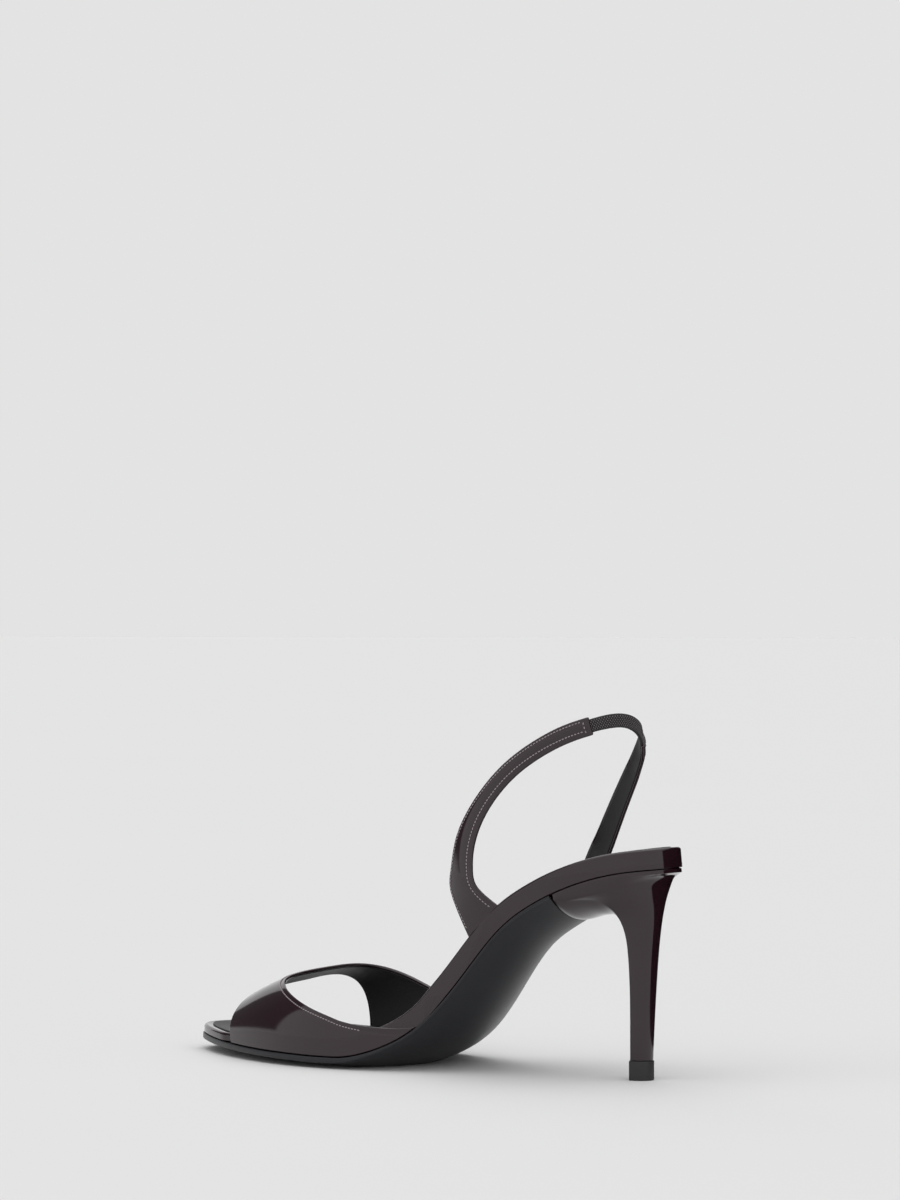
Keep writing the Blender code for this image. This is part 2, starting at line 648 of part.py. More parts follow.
def heel_seat():
    """Top of the heel on the footbed's underside, and under it the lip that meets the outsole."""
    _, lateral, medial = heel_plan(HEEL_INSET)
    mix = np.linspace(0.0, 1.0, HEEL_COLUMNS + 1)[None, :, None]
    plan = np.stack(lateral, axis=-1)[:, None] * (1 - mix) + np.stack(medial, axis=-1)[:, None] * mix
    lip = plan[:1].copy()
    lip[..., 1] = lip_line(HEEL_COLUMNS)[None, :] + lip[..., 1] - HEEL_BREAST
    plan = np.concatenate([lip, plan])
    at = np.clip(plan[..., 1] / FOOT_LENGTH, 0.0, 1.0)
    hump = crown(HEEL_COLUMNS)
    top = level(plan, -GAP - footbed_belly(at) * hump)
    return [top, level(plan, -GAP - LIP_EDGE - belly(at) * hump)]


def build_heel():
    """Heel block: seat, lip and stem through sections that turn from the seat's slope to level."""
    rows = np.arange(len(HEEL_SECTIONS))
    place = np.linspace(0.0, rows[-1], rows[-1] * HEEL_STEPS_PER_ROW + 1)
    columns = len(HEEL_SECTIONS[0])
    values = [spline(rows, column(HEEL_SECTIONS, i), place) for i in range(columns)]
    levels = [heel_grid(*[float(value[k]) for value in values]) for k in range(len(place))]
    return stack_solid("heel", heel_seat() + levels, "patent_leather")


def build_top_lift():
    """Rubber top piece under the stem, a little proud of it all round and flat underneath."""
    tip = heel_grid(*HEEL_SECTIONS[-1])
    middle = tip.reshape(-1, 3).mean(axis=0)
    levels = []
    for height, inset in LIFT_LEVELS:
        grow = 1 + 2 * (LIFT_PROUD - inset * LIFT_BEVEL) / HEEL_TIP_WIDTH
        grid = middle + (tip - middle) * grow
        grid[..., 2] = height * LIFT_HEIGHT
        levels.append(grid)
    return stack_solid("top_lift", levels, "rubber")


def centre_on_floor():
    """Move every mesh so that the origin is the middle of the bounding box, on the floor."""
    pieces = list(bpy.context.scene.objects)
    corners = np.array([vertex.co[:] for piece in pieces for vertex in piece.data.vertices])
    low = corners.min(axis=0)
    high = corners.max(axis=0)
    for piece in pieces:
        for vertex in piece.data.vertices:
            vertex.co.x -= (low[0] + high[0]) / 2
            vertex.co.y -= (low[1] + high[1]) / 2
            vertex.co.z -= low[2]


def main():
    """Clear the scene, then make every piece of the shoe."""
    for leftover in list(bpy.data.objects):
        bpy.data.objects.remove(leftover, do_unlink=True)
    build_outsole()
    build_footbed()
    build_sock()
    build_vamp()
    build_sling()
    build_heel()
    build_top_lift()
    centre_on_floor()


main()
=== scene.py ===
"""Dress of a high-heeled slingback sandal in patent leather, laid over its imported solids.

The shoe stands on z = 0 with its toe towards -Y and its lateral side towards +X. Every piece is a
surface worked out from the shoe's sizes, in metres. A strip is a surface of two parameters, place
along it and share across it, with a wall, rounded edges and a rolled rim. The sole pieces are
outlines stacked along the footbed's normal, and the heel is a loft through turning sections.
"""

import math

import bmesh
import bpy
import numpy as np
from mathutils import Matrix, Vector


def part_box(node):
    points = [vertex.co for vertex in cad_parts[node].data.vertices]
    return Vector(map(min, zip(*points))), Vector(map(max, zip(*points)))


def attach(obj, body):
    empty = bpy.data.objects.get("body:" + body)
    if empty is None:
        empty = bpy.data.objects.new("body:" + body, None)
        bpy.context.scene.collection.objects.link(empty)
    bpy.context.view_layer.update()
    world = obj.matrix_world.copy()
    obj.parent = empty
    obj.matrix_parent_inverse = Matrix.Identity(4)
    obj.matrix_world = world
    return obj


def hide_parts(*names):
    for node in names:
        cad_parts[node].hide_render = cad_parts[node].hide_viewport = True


bl_info = {
    "name": "Slingback Sandal",
    "version": (1, 0, 0),
    "blender": (4, 5, 0),
    "location": "View3D > Sidebar > Sandal",
    "description": "Builds the pieces of a patent leather slingback sandal",
    "category": "Add Mesh",
}

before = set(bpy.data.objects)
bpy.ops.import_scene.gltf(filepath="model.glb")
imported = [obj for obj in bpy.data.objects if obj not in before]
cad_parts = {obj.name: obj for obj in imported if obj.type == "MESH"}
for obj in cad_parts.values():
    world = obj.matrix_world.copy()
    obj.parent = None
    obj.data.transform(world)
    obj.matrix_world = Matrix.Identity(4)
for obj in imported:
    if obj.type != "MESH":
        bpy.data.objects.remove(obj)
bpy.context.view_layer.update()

# Sole and last
FOOT_LENGTH = 0.215          # level, from toe to seat
BALL_WIDTH = 0.077
SEAT_WIDTH = 0.045
SEAT_HEIGHT = 0.077          # of the footbed's underside
BALL_HEIGHT = 0.0045         # of the footbed's underside where the tread is lowest
BELLY = 0.0082               # drop of the shank's middle below its edges
WAIST = (0.45, 0.80)         # where the reference width turns from the ball's to the seat's
GAP = 0.0003                 # clearance between pieces that touch

# Outsole
TREAD_EDGE = 0.0022          # thickness at the tread
SHANK_EDGE = 0.0010          # and at the shank
OUTSOLE_PROUD = 0.0004
SKIVE = (0.36, 0.54)         # where the edge thins from tread to shank
FLUSH = (0.42, 0.56)         # where the edge draws back from proud to flush
OUTSOLE_ROUND = 0.0004       # at the tread
OUTSOLE_TOP_ROUND = 0.00024

# Footbed and sock
INSOLE_TOE = 0.0031          # thickness of the edge at the toe
FOOTBED_BAND = 0.0074        # and along the band from waist to seat
BAND_GROWTH = (0.34, 0.52)   # where the edge grows from the toe's thickness to the band's
FOOTBED_ROUND = 0.0011       # at the top
FOOTBED_LOW_ROUND = 0.00022
FOOTBED_DISH = 0.0010
DISH_FADE = 0.06
FOOTBED_BELLY = 0.45         # share of the belly that the footbed takes, the rest is the outsole's
SOCK_MARGIN = 0.0034
SOCK_GAP = 0.0001
SOCK_SHOWN = 0.0004          # what stands above the footbed once it is pressed down
SOCK_ROUND = 0.0003

# Upper
VAMP_WALL = 0.0014
VAMP_HEIGHT = 0.0334         # of the arch over the footbed's underside
VAMP_RIDGE = 0.0110          # how far the arch's top lies to the medial side
ARCH_POWER = 3.0             # 2 would be an ellipse, more is fuller at the sides
RECESS_FRONT = (0.035, 0.004)        # the footbed draws in for the vamp before its front edge
RECESS_REAR = (0.004, 0.050)         # and comes out again behind its rear edge
VAMP_LINING_SPAN = (0.8, 179.2)      # degrees over the arch
STRAP_WALL = 0.0016
STRAP_WIDTH = 0.0075
STRAP_INSET = 0.0008         # from the footbed's edge to a strap's outer face
STRAP_TUCK = 0.0014          # the straps' feet run this far down into the seam with the footbed
SLING_RISE = 0.0450          # from the footbed's top to the sling's highest line
ELASTIC_WIDTH = 0.0054
ELASTIC_WALL = 0.0013
ELASTIC_TUCK = 0.45          # how far the elastic runs up into the straps, in steps of the path
ELASTIC_RIBS = (4, 0.00010)  # ribs across the elastic, and their height
FOLD_RISE = 0.0002           # extra thickness where a strap's end is folded over
FOLD_FADE = 0.0012
LINING = 0.0003              # lining leather proud of the turned-in edges
LINING_LAP = 0.00045         # the lining's whole thickness, a third of it inside the patent wall
LINING_SETBACK = 0.0010      # width of the turned-in edge that shows beside the lining

# Heel
HEEL_TIP_WIDTH = 0.0092
HEEL_TIP_LENGTH = 0.0062
HEEL_TIP_BACK = 0.2047       # level, from the toe
HEEL_BREAST = 0.1765         # side corners of the breast at the seat, from the toe
HEEL_INSET = 0.0003
HEEL_ROUND = 0.0003
HEEL_TUCK = 0.0001           # the heel's middle is pressed into the footbed, so no light shows
HEEL_TUCK_INSET = 0.0012     # and its rim leaves a dark seam
LIP_BOW = 0.0040             # how far the lip bows forward under the waist
LIP_EDGE = 0.0015
LIFT_HEIGHT = 0.0070
LIFT_PROUD = 0.0004
LIFT_FOOT_ROUND = 0.0004
LIFT_FOOT_TAPER = 0.6        # share of the foot's rounding that draws it in
LIFT_TOP_ROUND = 0.00024
STEM_ROUND = 0.9             # power of the cosine round the stem's back, 1 would be an ellipse
HEEL_SOFTENING = 3           # times each loop is smoothed

# Sole sections: share of length, rise of the footbed's underside, fullness of the lateral and the
# medial side, belly across the underside
SOLE_SECTIONS = (
    (0.00, 0.030, 0.400, 0.530, 0.00),
    (0.03, 0.027, 0.415, 0.575, 0.07),
    (0.08, 0.021, 0.455, 0.592, 0.18),
    (0.16, 0.012, 0.500, 0.588, 0.30),
    (0.26, 0.005, 0.531, 0.578, 0.38),
    (0.36, 0.000, 0.527, 0.510, 0.43),
    (0.44, 0.006, 0.489, 0.450, 0.60),
    (0.50, 0.058, 0.453, 0.410, 0.76),
    (0.56, 0.165, 0.430, 0.384, 0.90),
    (0.63, 0.390, 0.432, 0.368, 0.96),
    (0.70, 0.640, 0.488, 0.398, 1.00),
    (0.78, 0.808, 0.626, 0.532, 1.00),
    (0.86, 0.912, 0.745, 0.688, 0.68),
    (0.94, 0.978, 0.855, 0.810, 0.18),
    (1.00, 1.000, 0.930, 0.900, 0.00),
)
# Vamp edges: angle over the arch from the lateral base (degrees), station of front and of rear edge
VAMP_EDGES = (
    (0, 0.149, 0.565),
    (20, 0.143, 0.450),
    (31, 0.145, 0.352),
    (42, 0.149, 0.284),
    (55, 0.155, 0.242),
    (90, 0.178, 0.247),
    (125, 0.212, 0.288),
    (138, 0.222, 0.338),
    (149, 0.227, 0.402),
    (160, 0.230, 0.469),
    (180, 0.232, 0.538),
)
# Vamp arch: station, height as a share of VAMP_HEIGHT
VAMP_ARCH = (
    (0.05, 0.16),
    (0.10, 0.40),
    (0.15, 0.59),
    (0.20, 0.745),
    (0.30, 0.925),
    (0.40, 0.990),
    (0.60, 1.000),
)
# Sling path: side as a share of half the seat width, station, height as a share of the way from the
# floor to the sling's highest line, width as a share of STRAP_WIDTH, facing in degrees
SLING_PATH = (
    (1.062, 0.6450, 0.5150, 1.95, -14),
    (1.062, 0.6385, 0.5780, 1.56, -13),
    (1.031, 0.6438, 0.6550, 1.29, -10),
    (0.991, 0.6675, 0.7440, 1.03, -5),
    (0.907, 0.7085, 0.8335, 0.92, 1),
    (0.827, 0.7600, 0.9025, 0.89, 8),
    (0.738, 0.8200, 0.9560, 0.90, 15),
    (0.640, 0.8744, 0.9870, 0.90, 27),
    (0.480, 0.9037, 1.0000, 0.94, 48),
    (0.222, 0.9200, 1.0000, 0.94, 74),
    (-0.089, 0.9233, 0.9800, 0.94, 100),
    (-0.356, 0.9120, 0.9480, 0.92, 132),
    (-0.540, 0.8940, 0.9110, 0.90, 160),
    (-0.622, 0.8800, 0.8780, 0.90, 173),
    (-0.729, 0.8620, 0.8400, 0.96, 179),
    (-0.831, 0.8290, 0.7508, 1.05, 182),
    (-0.893, 0.7990, 0.6579, 1.16, 183),
    (-0.915, 0.7845, 0.6120, 1.25, 183),
)
# Stations of the straps' feet along the footbed, and the path's rows where the straps end
LATERAL_FOOT = (0.675, 0.730)
MEDIAL_FOOT = (0.748, 0.812)
LATERAL_END = 7
MEDIAL_END = 11
# Heel sections from the seat down: place and height of the breast's side corner, place and height
# of the back, flare, bow of the breast forward and down, turn of the outline from seat to stem
HEEL_SECTIONS = (
    (0.880, 0.821, 0.750, 0.958, 0.920, 0.0000, 0.0074, 0.05),
    (0.640, 0.828, 0.600, 0.932, 0.830, 0.0008, 0.0066, 0.16),
    (0.400, 0.830, 0.520, 0.894, 0.660, 0.0016, 0.0060, 0.36),
    (0.235, 0.803, 0.455, 0.843, 0.450, 0.0022, 0.0042, 0.62),
    (0.115, 0.748, 0.385, 0.770, 0.265, 0.0025, 0.0019, 0.86),
    (0.035, 0.669, 0.305, 0.683, 0.160, 0.0023, 0.0006, 1.00),
    (-0.010, 0.555, 0.210, 0.558, 0.108, 0.0021, 0.0000, 1.00),
    (-0.022, 0.384, 0.125, 0.384, 0.062, 0.0019, 0.0000, 1.00),
    (-0.014, 0.182, 0.050, 0.182, 0.028, 0.0018, 0.0000, 1.00),
    (0.000, 0.000, 0.000, 0.000, 0.000, 0.0017, 0.0000, 1.00),
)
# A point inside the vamp and one inside the sling, which their outer faces look away from
VAMP_CORE = np.array([0.0, 0.06, 0.010])
SLING_CORE = np.array([0.0, 0.165, 0.100])
# Rim of a strip, measured in from its edge: a rolled bead, then the groove that the stitches pull
BEAD = (0.0007, 0.0005, 0.00007)      # place, spread, height
GROOVE_SPREAD = 0.00045
GROOVE_DEPTH = 0.00006
RIM_WIDTH = 0.0030
RIM_MOST = 0.45              # a rim's largest share of the width
EDGE_BULGE = 0.8             # how far a rounded edge stands out, as a share of half the wall
MOST_SLANT = 3.0             # an edge's slant stretches a rim no more than this
# Stitches: bare length at both ends of a seam, share of the width that an end seam crosses
VAMP_SEAM_TRIM = 0.012
STRAP_SEAM_TRIM = 0.003
END_SEAM_REACH = (0.16, 0.84)
THREAD_LIFT = 0.5            # how far a stitch's axis stands over the leather, in radii

# How finely the surfaces are divided
SOLE_ROWS = 150
SOLE_COLUMNS = 28
STRIP_STEPS = 190
FACE_STEPS = 26
RIBBED_STEPS = 34
RIM_STEPS = 14
RIM_SPREAD = 1.3             # power that packs the rim's lines towards the edge
EDGE_ARC = 8
HEEL_ROWS = 84
HEEL_COLUMNS = 44
HEEL_LEVELS = 110
SEAM_ROUND = 0.001           # length at a seam's ends that is sampled densely
RUN_SAMPLES = 600
WIDTH_SAMPLES = 50
END_SEAM_SAMPLES = 40
THREAD_RINGS = 9
THREAD_SIDES = 8
MERGE = 1e-7                 # points closer than this become one
SHUT = 1e-4                  # a row across the sole shorter than this becomes one point
SHARP = 40.0                 # degrees between faces from which an edge is drawn sharp

# Small steps for slopes: share of the length for heights and for the outline, rows of the sling's
# path, share of a line across, share of a strip's span
SLOPE_STEP = 0.002
OUTLINE_STEP = 0.0005
PATH_STEP = 0.01
ACROSS_STEP = 0.004
PLACE_STEP = 1e-4

# Camera: compass direction from the shoe, height angle, distance, and where the point AIM falls in
# a picture of PICTURE pixels
CAMERA_AZIMUTH = 126.0
CAMERA_ELEVATION = 4.5
CAMERA_DISTANCE = 1.5
CAMERA_LENS = 119.7
AIM = (0.0, 0.0, 0.045)
AIM_PIXEL = (433.0, 943.0)
PICTURE = (900.0, 1200.0)
SENSOR = 36.0

# Studio: the paper of floor and backdrop, brightness of the white room, and what hangs in the room
# as azimuth, elevation, half width and half height (tangents), edge and brightness
PAPER = "E3E3E3"
FLOOR_REACH = 60.0
SKY = 0.85
LEAST_AHEAD = 0.001          # keeps a hanging's tangents finite for rays that point away from it
HANGINGS = (
    (6.0, 24.0, 0.45, 0.40, 0.03, 0.12),
    (252.0, 10.0, 0.85, 0.60, 0.06, 0.05),
    (0.0, 88.0, 0.60, 0.60, 0.20, 1.8),
)
# Black card behind the heel, seen only in reflections: two corners
FLAG = ((-0.11, 0.06, 0.0), (-0.03, 0.24, 0.13))

# Sizes of the finishes' patterns
PATENT_WAVE = 0.014          # slow waves of the poured coat
PATENT_SKIN = 0.0016         # the leather's grain under the coat
PATENT_TONE = 0.020          # patches of tone
LINING_PORE = 0.0007
SOLE_PORE = 0.0009
CREASE = 14                  # creases of plain leather, in pores
LEATHER_TONE = 30            # its patches of tone, in pores
LOOP_PITCH = 0.00095         # loops of the elastic along it
ROW_PITCH = 0.0013           # and rows of them across it
FUZZ = 0.0003
RUBBER_PIT = 0.0007
THREAD_TWIST = 0.0004
FELT_PILE = 0.002
PAPER_CLOUD = 0.4
PAPER_TONE = 0.005           # how much darker and lighter the paper's clouds are, as a share

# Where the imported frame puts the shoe's origin, filled in by set_offset
OFFSET = np.zeros(3)


def column(table, index):
    """One column of a table as an array."""
    return np.array([row[index] for row in table], dtype=float)


def unit(vectors):
    """Vectors divided by their own length."""
    return vectors / np.maximum(np.linalg.norm(vectors, axis=-1, keepdims=True), 1e-12)


def spline(places, values, at):
    """Natural cubic spline through (places, values), read at the given places."""
    places = np.asarray(places, dtype=float)
    values = np.asarray(values, dtype=float)
    at = np.clip(np.asarray(at, dtype=float), places[0], places[-1])
    count = len(places)
    step = np.diff(places)
    matrix = np.eye(count)
    right = np.zeros(count)
    inner = np.arange(1, count - 1)
    matrix[inner, inner - 1] = step[:-1]
    matrix[inner, inner] = 2 * (step[:-1] + step[1:])
    matrix[inner, inner + 1] = step[1:]
    slope = np.diff(values) / step
    right[1:-1] = 6 * np.diff(slope)
    bend = np.linalg.solve(matrix, right)
    i = np.clip(np.searchsorted(places, at, side="right") - 1, 0, count - 2)
    left = (places[i + 1] - at) / step[i]
    rest = 1 - left
    curve = (left ** 3 - left) * bend[i] + (rest ** 3 - rest) * bend[i + 1]
    return left * values[i] + rest * values[i + 1] + curve * step[i] ** 2 / 6


def ramp(low, high, at):
    """Smooth step from 0 at low to 1 at high."""
    share = np.clip((np.asarray(at, dtype=float) - low) / (high - low), 0.0, 1.0)
    return share * share * (3 - 2 * share)


def sole_column(index, share):
    """A column of SOLE_SECTIONS at any share of the length."""
    return spline(column(SOLE_SECTIONS, 0), column(SOLE_SECTIONS, index), share)


def base_height(share):
    """Height of the footbed's underside at its edge."""
    return BALL_HEIGHT + np.maximum(sole_column(1, share), 0.0) * (SEAT_HEIGHT - BALL_HEIGHT)


def half_width(side, share):
    """Plan half width: fullness times the reference width times an ellipse over the length."""
    reference = BALL_WIDTH + (SEAT_WIDTH - BALL_WIDTH) * ramp(*WAIST, share)
    fullness = sole_column(2 if side > 0 else 3, share)
    return fullness * reference * 2 * np.sqrt(np.clip(share * (1 - share), 0.0, None))


def belly(share):
    """Drop of the underside's middle below its edges."""
    return BELLY * np.maximum(sole_column(4, share), 0.0)


def dish(share):
    """Hollow of the footbed's top in the middle."""
    return FOOTBED_DISH * ramp(0.0, DISH_FADE, share) * (1 - ramp(1 - DISH_FADE, 1.0, share))


def band(share):
    """Thickness of the footbed's edge."""
    return INSOLE_TOE + (FOOTBED_BAND - INSOLE_TOE) * ramp(*BAND_GROWTH, share)


def lift(x, y, height):
    """Plan points (x, y) raised from the footbed's underside along its lengthwise normal."""
    share = np.clip(y / FOOT_LENGTH, 0.0, 1.0)
    low = np.clip(share - SLOPE_STEP, 0.0, 1.0)
    high = np.clip(share + SLOPE_STEP, 0.0, 1.0)
    slope = (base_height(high) - base_height(low)) / ((high - low) * FOOT_LENGTH)
    size = np.sqrt(1 + slope * slope)
    z = base_height(share) + height / size
    return np.stack([x + 0 * height, y - height * slope / size, z], axis=-1)


def outline(side, share, inset):
    """Plan outline of one side at the given stations, moved inward along its normal by inset."""
    low = np.clip(share - OUTLINE_STEP, 0.0, 1.0)
    high = np.clip(share + OUTLINE_STEP, 0.0, 1.0)
    run_x = half_width(side, high) - half_width(side, low)
    ends = (share <= 0.0) | (share >= 1.0)
    run_y = np.where(ends, 0.0, (high - low) * FOOT_LENGTH)
    size = np.hypot(run_x, run_y)
    x = half_width(side, share) - inset * run_y / size
    y = share * FOOT_LENGTH + inset * run_x / size
    return side * np.maximum(x, 0.0), y


def footbed_inset(side, share):
    """The footbed's edge lies inside the last's outline where the vamp passes over it."""
    _, front, rear = VAMP_EDGES[0] if side > 0 else VAMP_EDGES[-1]
    entry = ramp(front - RECESS_FRONT[0], front - RECESS_FRONT[1], share)
    leaving = ramp(rear + RECESS_REAR[0], rear + RECESS_REAR[1], share)
    return (VAMP_WALL + GAP) * entry * (1 - leaving)


def stations(end=1.0):
    """Stations from the toe to end, closer together at the round ends."""
    reach = np.arccos(1 - 2 * end) * np.linspace(0.0, 1.0, SOLE_ROWS + 1)
    return 0.5 - 0.5 * np.cos(reach)


def plan_grid(share, lateral_inset, medial_inset):
    """Rows of plan points across the sole, from the lateral outline to the medial one."""
    lateral = np.stack(outline(1, share, lateral_inset), axis=-1)
    medial = np.stack(outline(-1, share, medial_inset), axis=-1)
    across = 0.5 - 0.5 * np.cos(np.linspace(0.0, math.pi, SOLE_COLUMNS + 1))[None, :, None]
    return lateral[:, None, :] * (1 - across) + medial[:, None, :] * across


def crown():
    """1 in the middle of each row across the sole and 0 at its ends."""
    across = np.cos(np.linspace(0.0, math.pi, SOLE_COLUMNS + 1))
    return 1 - across[None, :] ** 2


def perimeter(rows, columns):
    """Grid indices round the edge of a grid, in order."""
    index = np.arange(rows * columns).reshape(rows, columns)
    return np.concatenate([index[0, :-1], index[:-1, -1], index[-1, :0:-1], index[:0:-1, 0]])


def grid_faces(rows, columns, start):
    """Four-cornered faces of a grid whose first vertex is start."""
    index = np.arange(rows * columns).reshape(rows, columns) + start
    corners = [index[:-1, :-1], index[:-1, 1:], index[1:, 1:], index[1:, :-1]]
    return np.stack(corners, axis=-1).reshape(-1, 4)


def ring_faces(rings):
    """Faces between closed rings of vertex numbers, one ring a row."""
    ahead = np.roll(rings, -1, axis=1)
    corners = [rings[:-1], ahead[:-1], ahead[1:], rings[1:]]
    return np.stack(corners, axis=-1).reshape(-1, 4)


def build(name, points, faces, material, nodes=(), marks=None):
    """A closed mesh piece on the root: doubled points merged, faces outward, one material."""
    keys = np.round(points / MERGE).astype(np.int64)
    _, first, back = np.unique(keys, axis=0, return_index=True, return_inverse=True)
    merged = back.reshape(-1)[faces]
    doubled = merged == np.roll(merged, 1, axis=1)
    totals = 4 - doubled.sum(axis=1)
    quads = merged[totals == 4]
    threes = merged[totals == 3][~doubled[totals == 3]].reshape(-1, 3)
    mesh = bpy.data.meshes.new(name)
    mesh.from_pydata((points[first] + OFFSET).tolist(), [], quads.tolist() + threes.tolist())
    if marks is not None:
        layer = mesh.attributes.new("weave", "FLOAT_VECTOR", "POINT")
        layer.data.foreach_set("vector", marks[first].astype(np.float32).ravel())
    work = bmesh.new()
    work.from_mesh(mesh)
    loose = [vertex for vertex in work.verts if not vertex.link_faces]
    bmesh.ops.delete(work, geom=loose, context="VERTS")
    bmesh.ops.recalc_face_normals(work, faces=work.faces)
    work.to_mesh(mesh)
    work.free()
    mesh.shade_smooth()
    mesh.set_sharp_from_angle(angle=math.radians(SHARP))
    mesh.materials.append(material)
    piece = bpy.data.objects.new(name, mesh)
    bpy.context.scene.collection.objects.link(piece)
    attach(piece, "root")
    if nodes:
        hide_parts(*nodes)


def stack(levels):
    """Points and faces of a closed solid from grids: first and last are caps, their edges walls."""
    levels = [close_ends(grid) for grid in levels]
    rows, columns = levels[0].shape[:2]
    edge = perimeter(rows, columns)
    size = rows * columns
    rings = edge[None, :] + size * np.arange(len(levels))[:, None]
    faces = [grid_faces(rows, columns, 0), grid_faces(rows, columns, rings[-1].min())]
    return np.concatenate(levels).reshape(-1, 3), np.concatenate(faces + [ring_faces(rings)])


def close_ends(grid):
    """Make each row that has shrunk to nothing in plan exactly one point."""
    shut = np.ptp(grid[..., :2], axis=1).max(axis=1) < SHUT
    grid[shut] = grid[shut].mean(axis=1, keepdims=True)
    return grid


def bulge(share):
    """1 in the middle of a line across and 0 at its ends: 1 - (2 s - 1)^2."""
    return 1 - (2 * share - 1) ** 2


def quarter(radius, steps, rising):
    """Pairs of rise and inset along a quarter circle from a face to a wall, or back."""
    turn = np.linspace(0.0, math.pi / 2, steps + 1)
    pairs = np.stack([radius * (1 - np.cos(turn)), radius * (1 - np.sin(turn))], axis=-1)
    return pairs if rising else pairs[::-1] * [-1, 1]


def footbed_top(x, y):
    """Height above the footbed's underside of its top, for plan points off its edge."""
    share = np.clip(y / FOOT_LENGTH, 0.0, 1.0)
    lateral = half_width(1, share)
    medial = half_width(-1, share)
    half = np.maximum((lateral + medial) / 2, GAP)
    hump = np.clip(1 - ((x - (lateral - medial) / 2) / half) ** 2, 0.0, 1.0)
    return band(share) - dish(share) * hump


def arch(turn, share):
    """Vamp's outer face: |x/a|^p + |z/h|^p = 1 over the last at a station, from base to base."""
    height = VAMP_HEIGHT * spline(column(VAMP_ARCH, 0), column(VAMP_ARCH, 1), share)
    cosine = np.cos(turn)
    sine = np.maximum(np.sin(turn), 0.0)
    radius = (np.abs(cosine) ** ARCH_POWER + sine ** ARCH_POWER) ** (1 / ARCH_POWER)
    lateral = half_width(1, share) + VAMP_RIDGE
    medial = half_width(-1, share) - VAMP_RIDGE
    x = np.where(cosine > 0, lateral, medial) * cosine / radius - VAMP_RIDGE
    z = base_height(share) + height * sine / radius
    return np.stack([x, share * FOOT_LENGTH + 0 * x, z], axis=-1)


def vamp_surface(place, across):
    """The vamp at an angle over the arch and a share of the way from its front to its rear edge."""
    front = spline(column(VAMP_EDGES, 0), column(VAMP_EDGES, 1), place)
    rear = spline(column(VAMP_EDGES, 0), column(VAMP_EDGES, 2), place)
    return arch(np.radians(place), front * (1 - across) + rear * across)


def sling_path(place):
    """Centre, width and facing direction of the sling at places along its path."""
    rows = np.arange(len(SLING_PATH))
    values = [spline(rows, column(SLING_PATH, i), place) for i in range(5)]
    x = values[0] * SEAT_WIDTH / 2
    y = values[1] * FOOT_LENGTH
    z = values[2] * (SEAT_HEIGHT + FOOTBED_BAND + SLING_RISE)
    facing = np.radians(values[4])
    out = np.stack([np.cos(facing), np.sin(facing), 0 * facing], axis=-1)
    return np.stack([x, y, z], axis=-1), values[3] * STRAP_WIDTH, out


def sling_surface(place, across, width_share):
    """The sling's outer face: its path plus a straight line across, square to run and facing."""
    centre, width, out = sling_path(place)
    run = unit(sling_path(place + PATH_STEP)[0] - sling_path(place - PATH_STEP)[0])
    side = unit(np.cross(out, run))
    return centre + side * ((across - 0.5) * width * width_share)[..., None]


def elastic_surface(place, across):
    """The elastic's outer face, a narrower strip on the sling's path."""
    return sling_surface(place, across, ELASTIC_WIDTH / STRAP_WIDTH)


def strap_surface(side, foot, first, last):
    """A strap's outer face: splines through its foot on the footbed and the sling's rows."""
    bands = np.linspace(0.0, 1.0, 3)
    rows = sling_surface(np.arange(first, last + 1)[:, None] + 0 * bands[None, :],
                         bands[None, :] + 0 * np.arange(first, last + 1)[:, None], 1.0)
    share = foot[0] + (foot[1] - foot[0]) * (1 - bands)
    x, y = outline(side, share, STRAP_INSET + footbed_inset(side, share))
    base = lift(x, y, band(share) - STRAP_TUCK)[None]
    control = np.concatenate([base, rows] if side > 0 else [rows, base])
    knots = np.arange(len(control))

    def surface(place, across):
        lines = [np.stack([spline(knots, control[:, k, i], place) for i in range(3)], axis=-1)
                 for k in range(3)]
        a = across[..., None]
        return (lines[0] * (1 - a) * (1 - 2 * a) + lines[1] * 4 * a * (1 - a)
                + lines[2] * a * (2 * a - 1))

    return surface, knots[-1]


def run_places(surface, span, rounding):
    """Places along a strip, dense at its rounded ends, with their distances from both ends."""
    sample = np.linspace(span[0], span[1], RUN_SAMPLES)
    line = surface(sample, 0.5 + 0 * sample)
    length = arc_length(line)
    dense = rounding * (1 - np.cos(np.linspace(0.0, math.pi / 2, EDGE_ARC)))
    middle = np.linspace(rounding, length[-1] - rounding, STRIP_STEPS)[1:-1]
    reach = np.concatenate([dense, middle, length[-1] - dense[::-1]])
    return np.interp(reach, length, sample), reach, length[-1] - reach


def arc_length(line):
    """Length along a line of points from its first point to each."""
    return np.concatenate([[0.0], np.cumsum(np.linalg.norm(np.diff(line, axis=0), axis=-1))])


def strip_width(surface, places):
    """Length of the surface's line across at each place."""
    across = np.linspace(0.0, 1.0, WIDTH_SAMPLES)
    lines = surface(places[:, None] + 0 * across, across[None, :] + 0 * places[:, None])
    return np.linalg.norm(np.diff(lines, axis=1), axis=-1).sum(axis=1)


def edge_slant(surface, places, edge, step):
    """How much longer a line across runs than the square distance from a slanting edge: 1 / sin."""
    at = edge + 0 * places
    run = unit(surface(places + step, at) - surface(places - step, at))
    side = unit(surface(places, at + ACROSS_STEP) - surface(places, at - ACROSS_STEP))
    return np.clip(1 / np.linalg.norm(np.cross(run, side), axis=-1), 1.0, MOST_SLANT)[:, None]


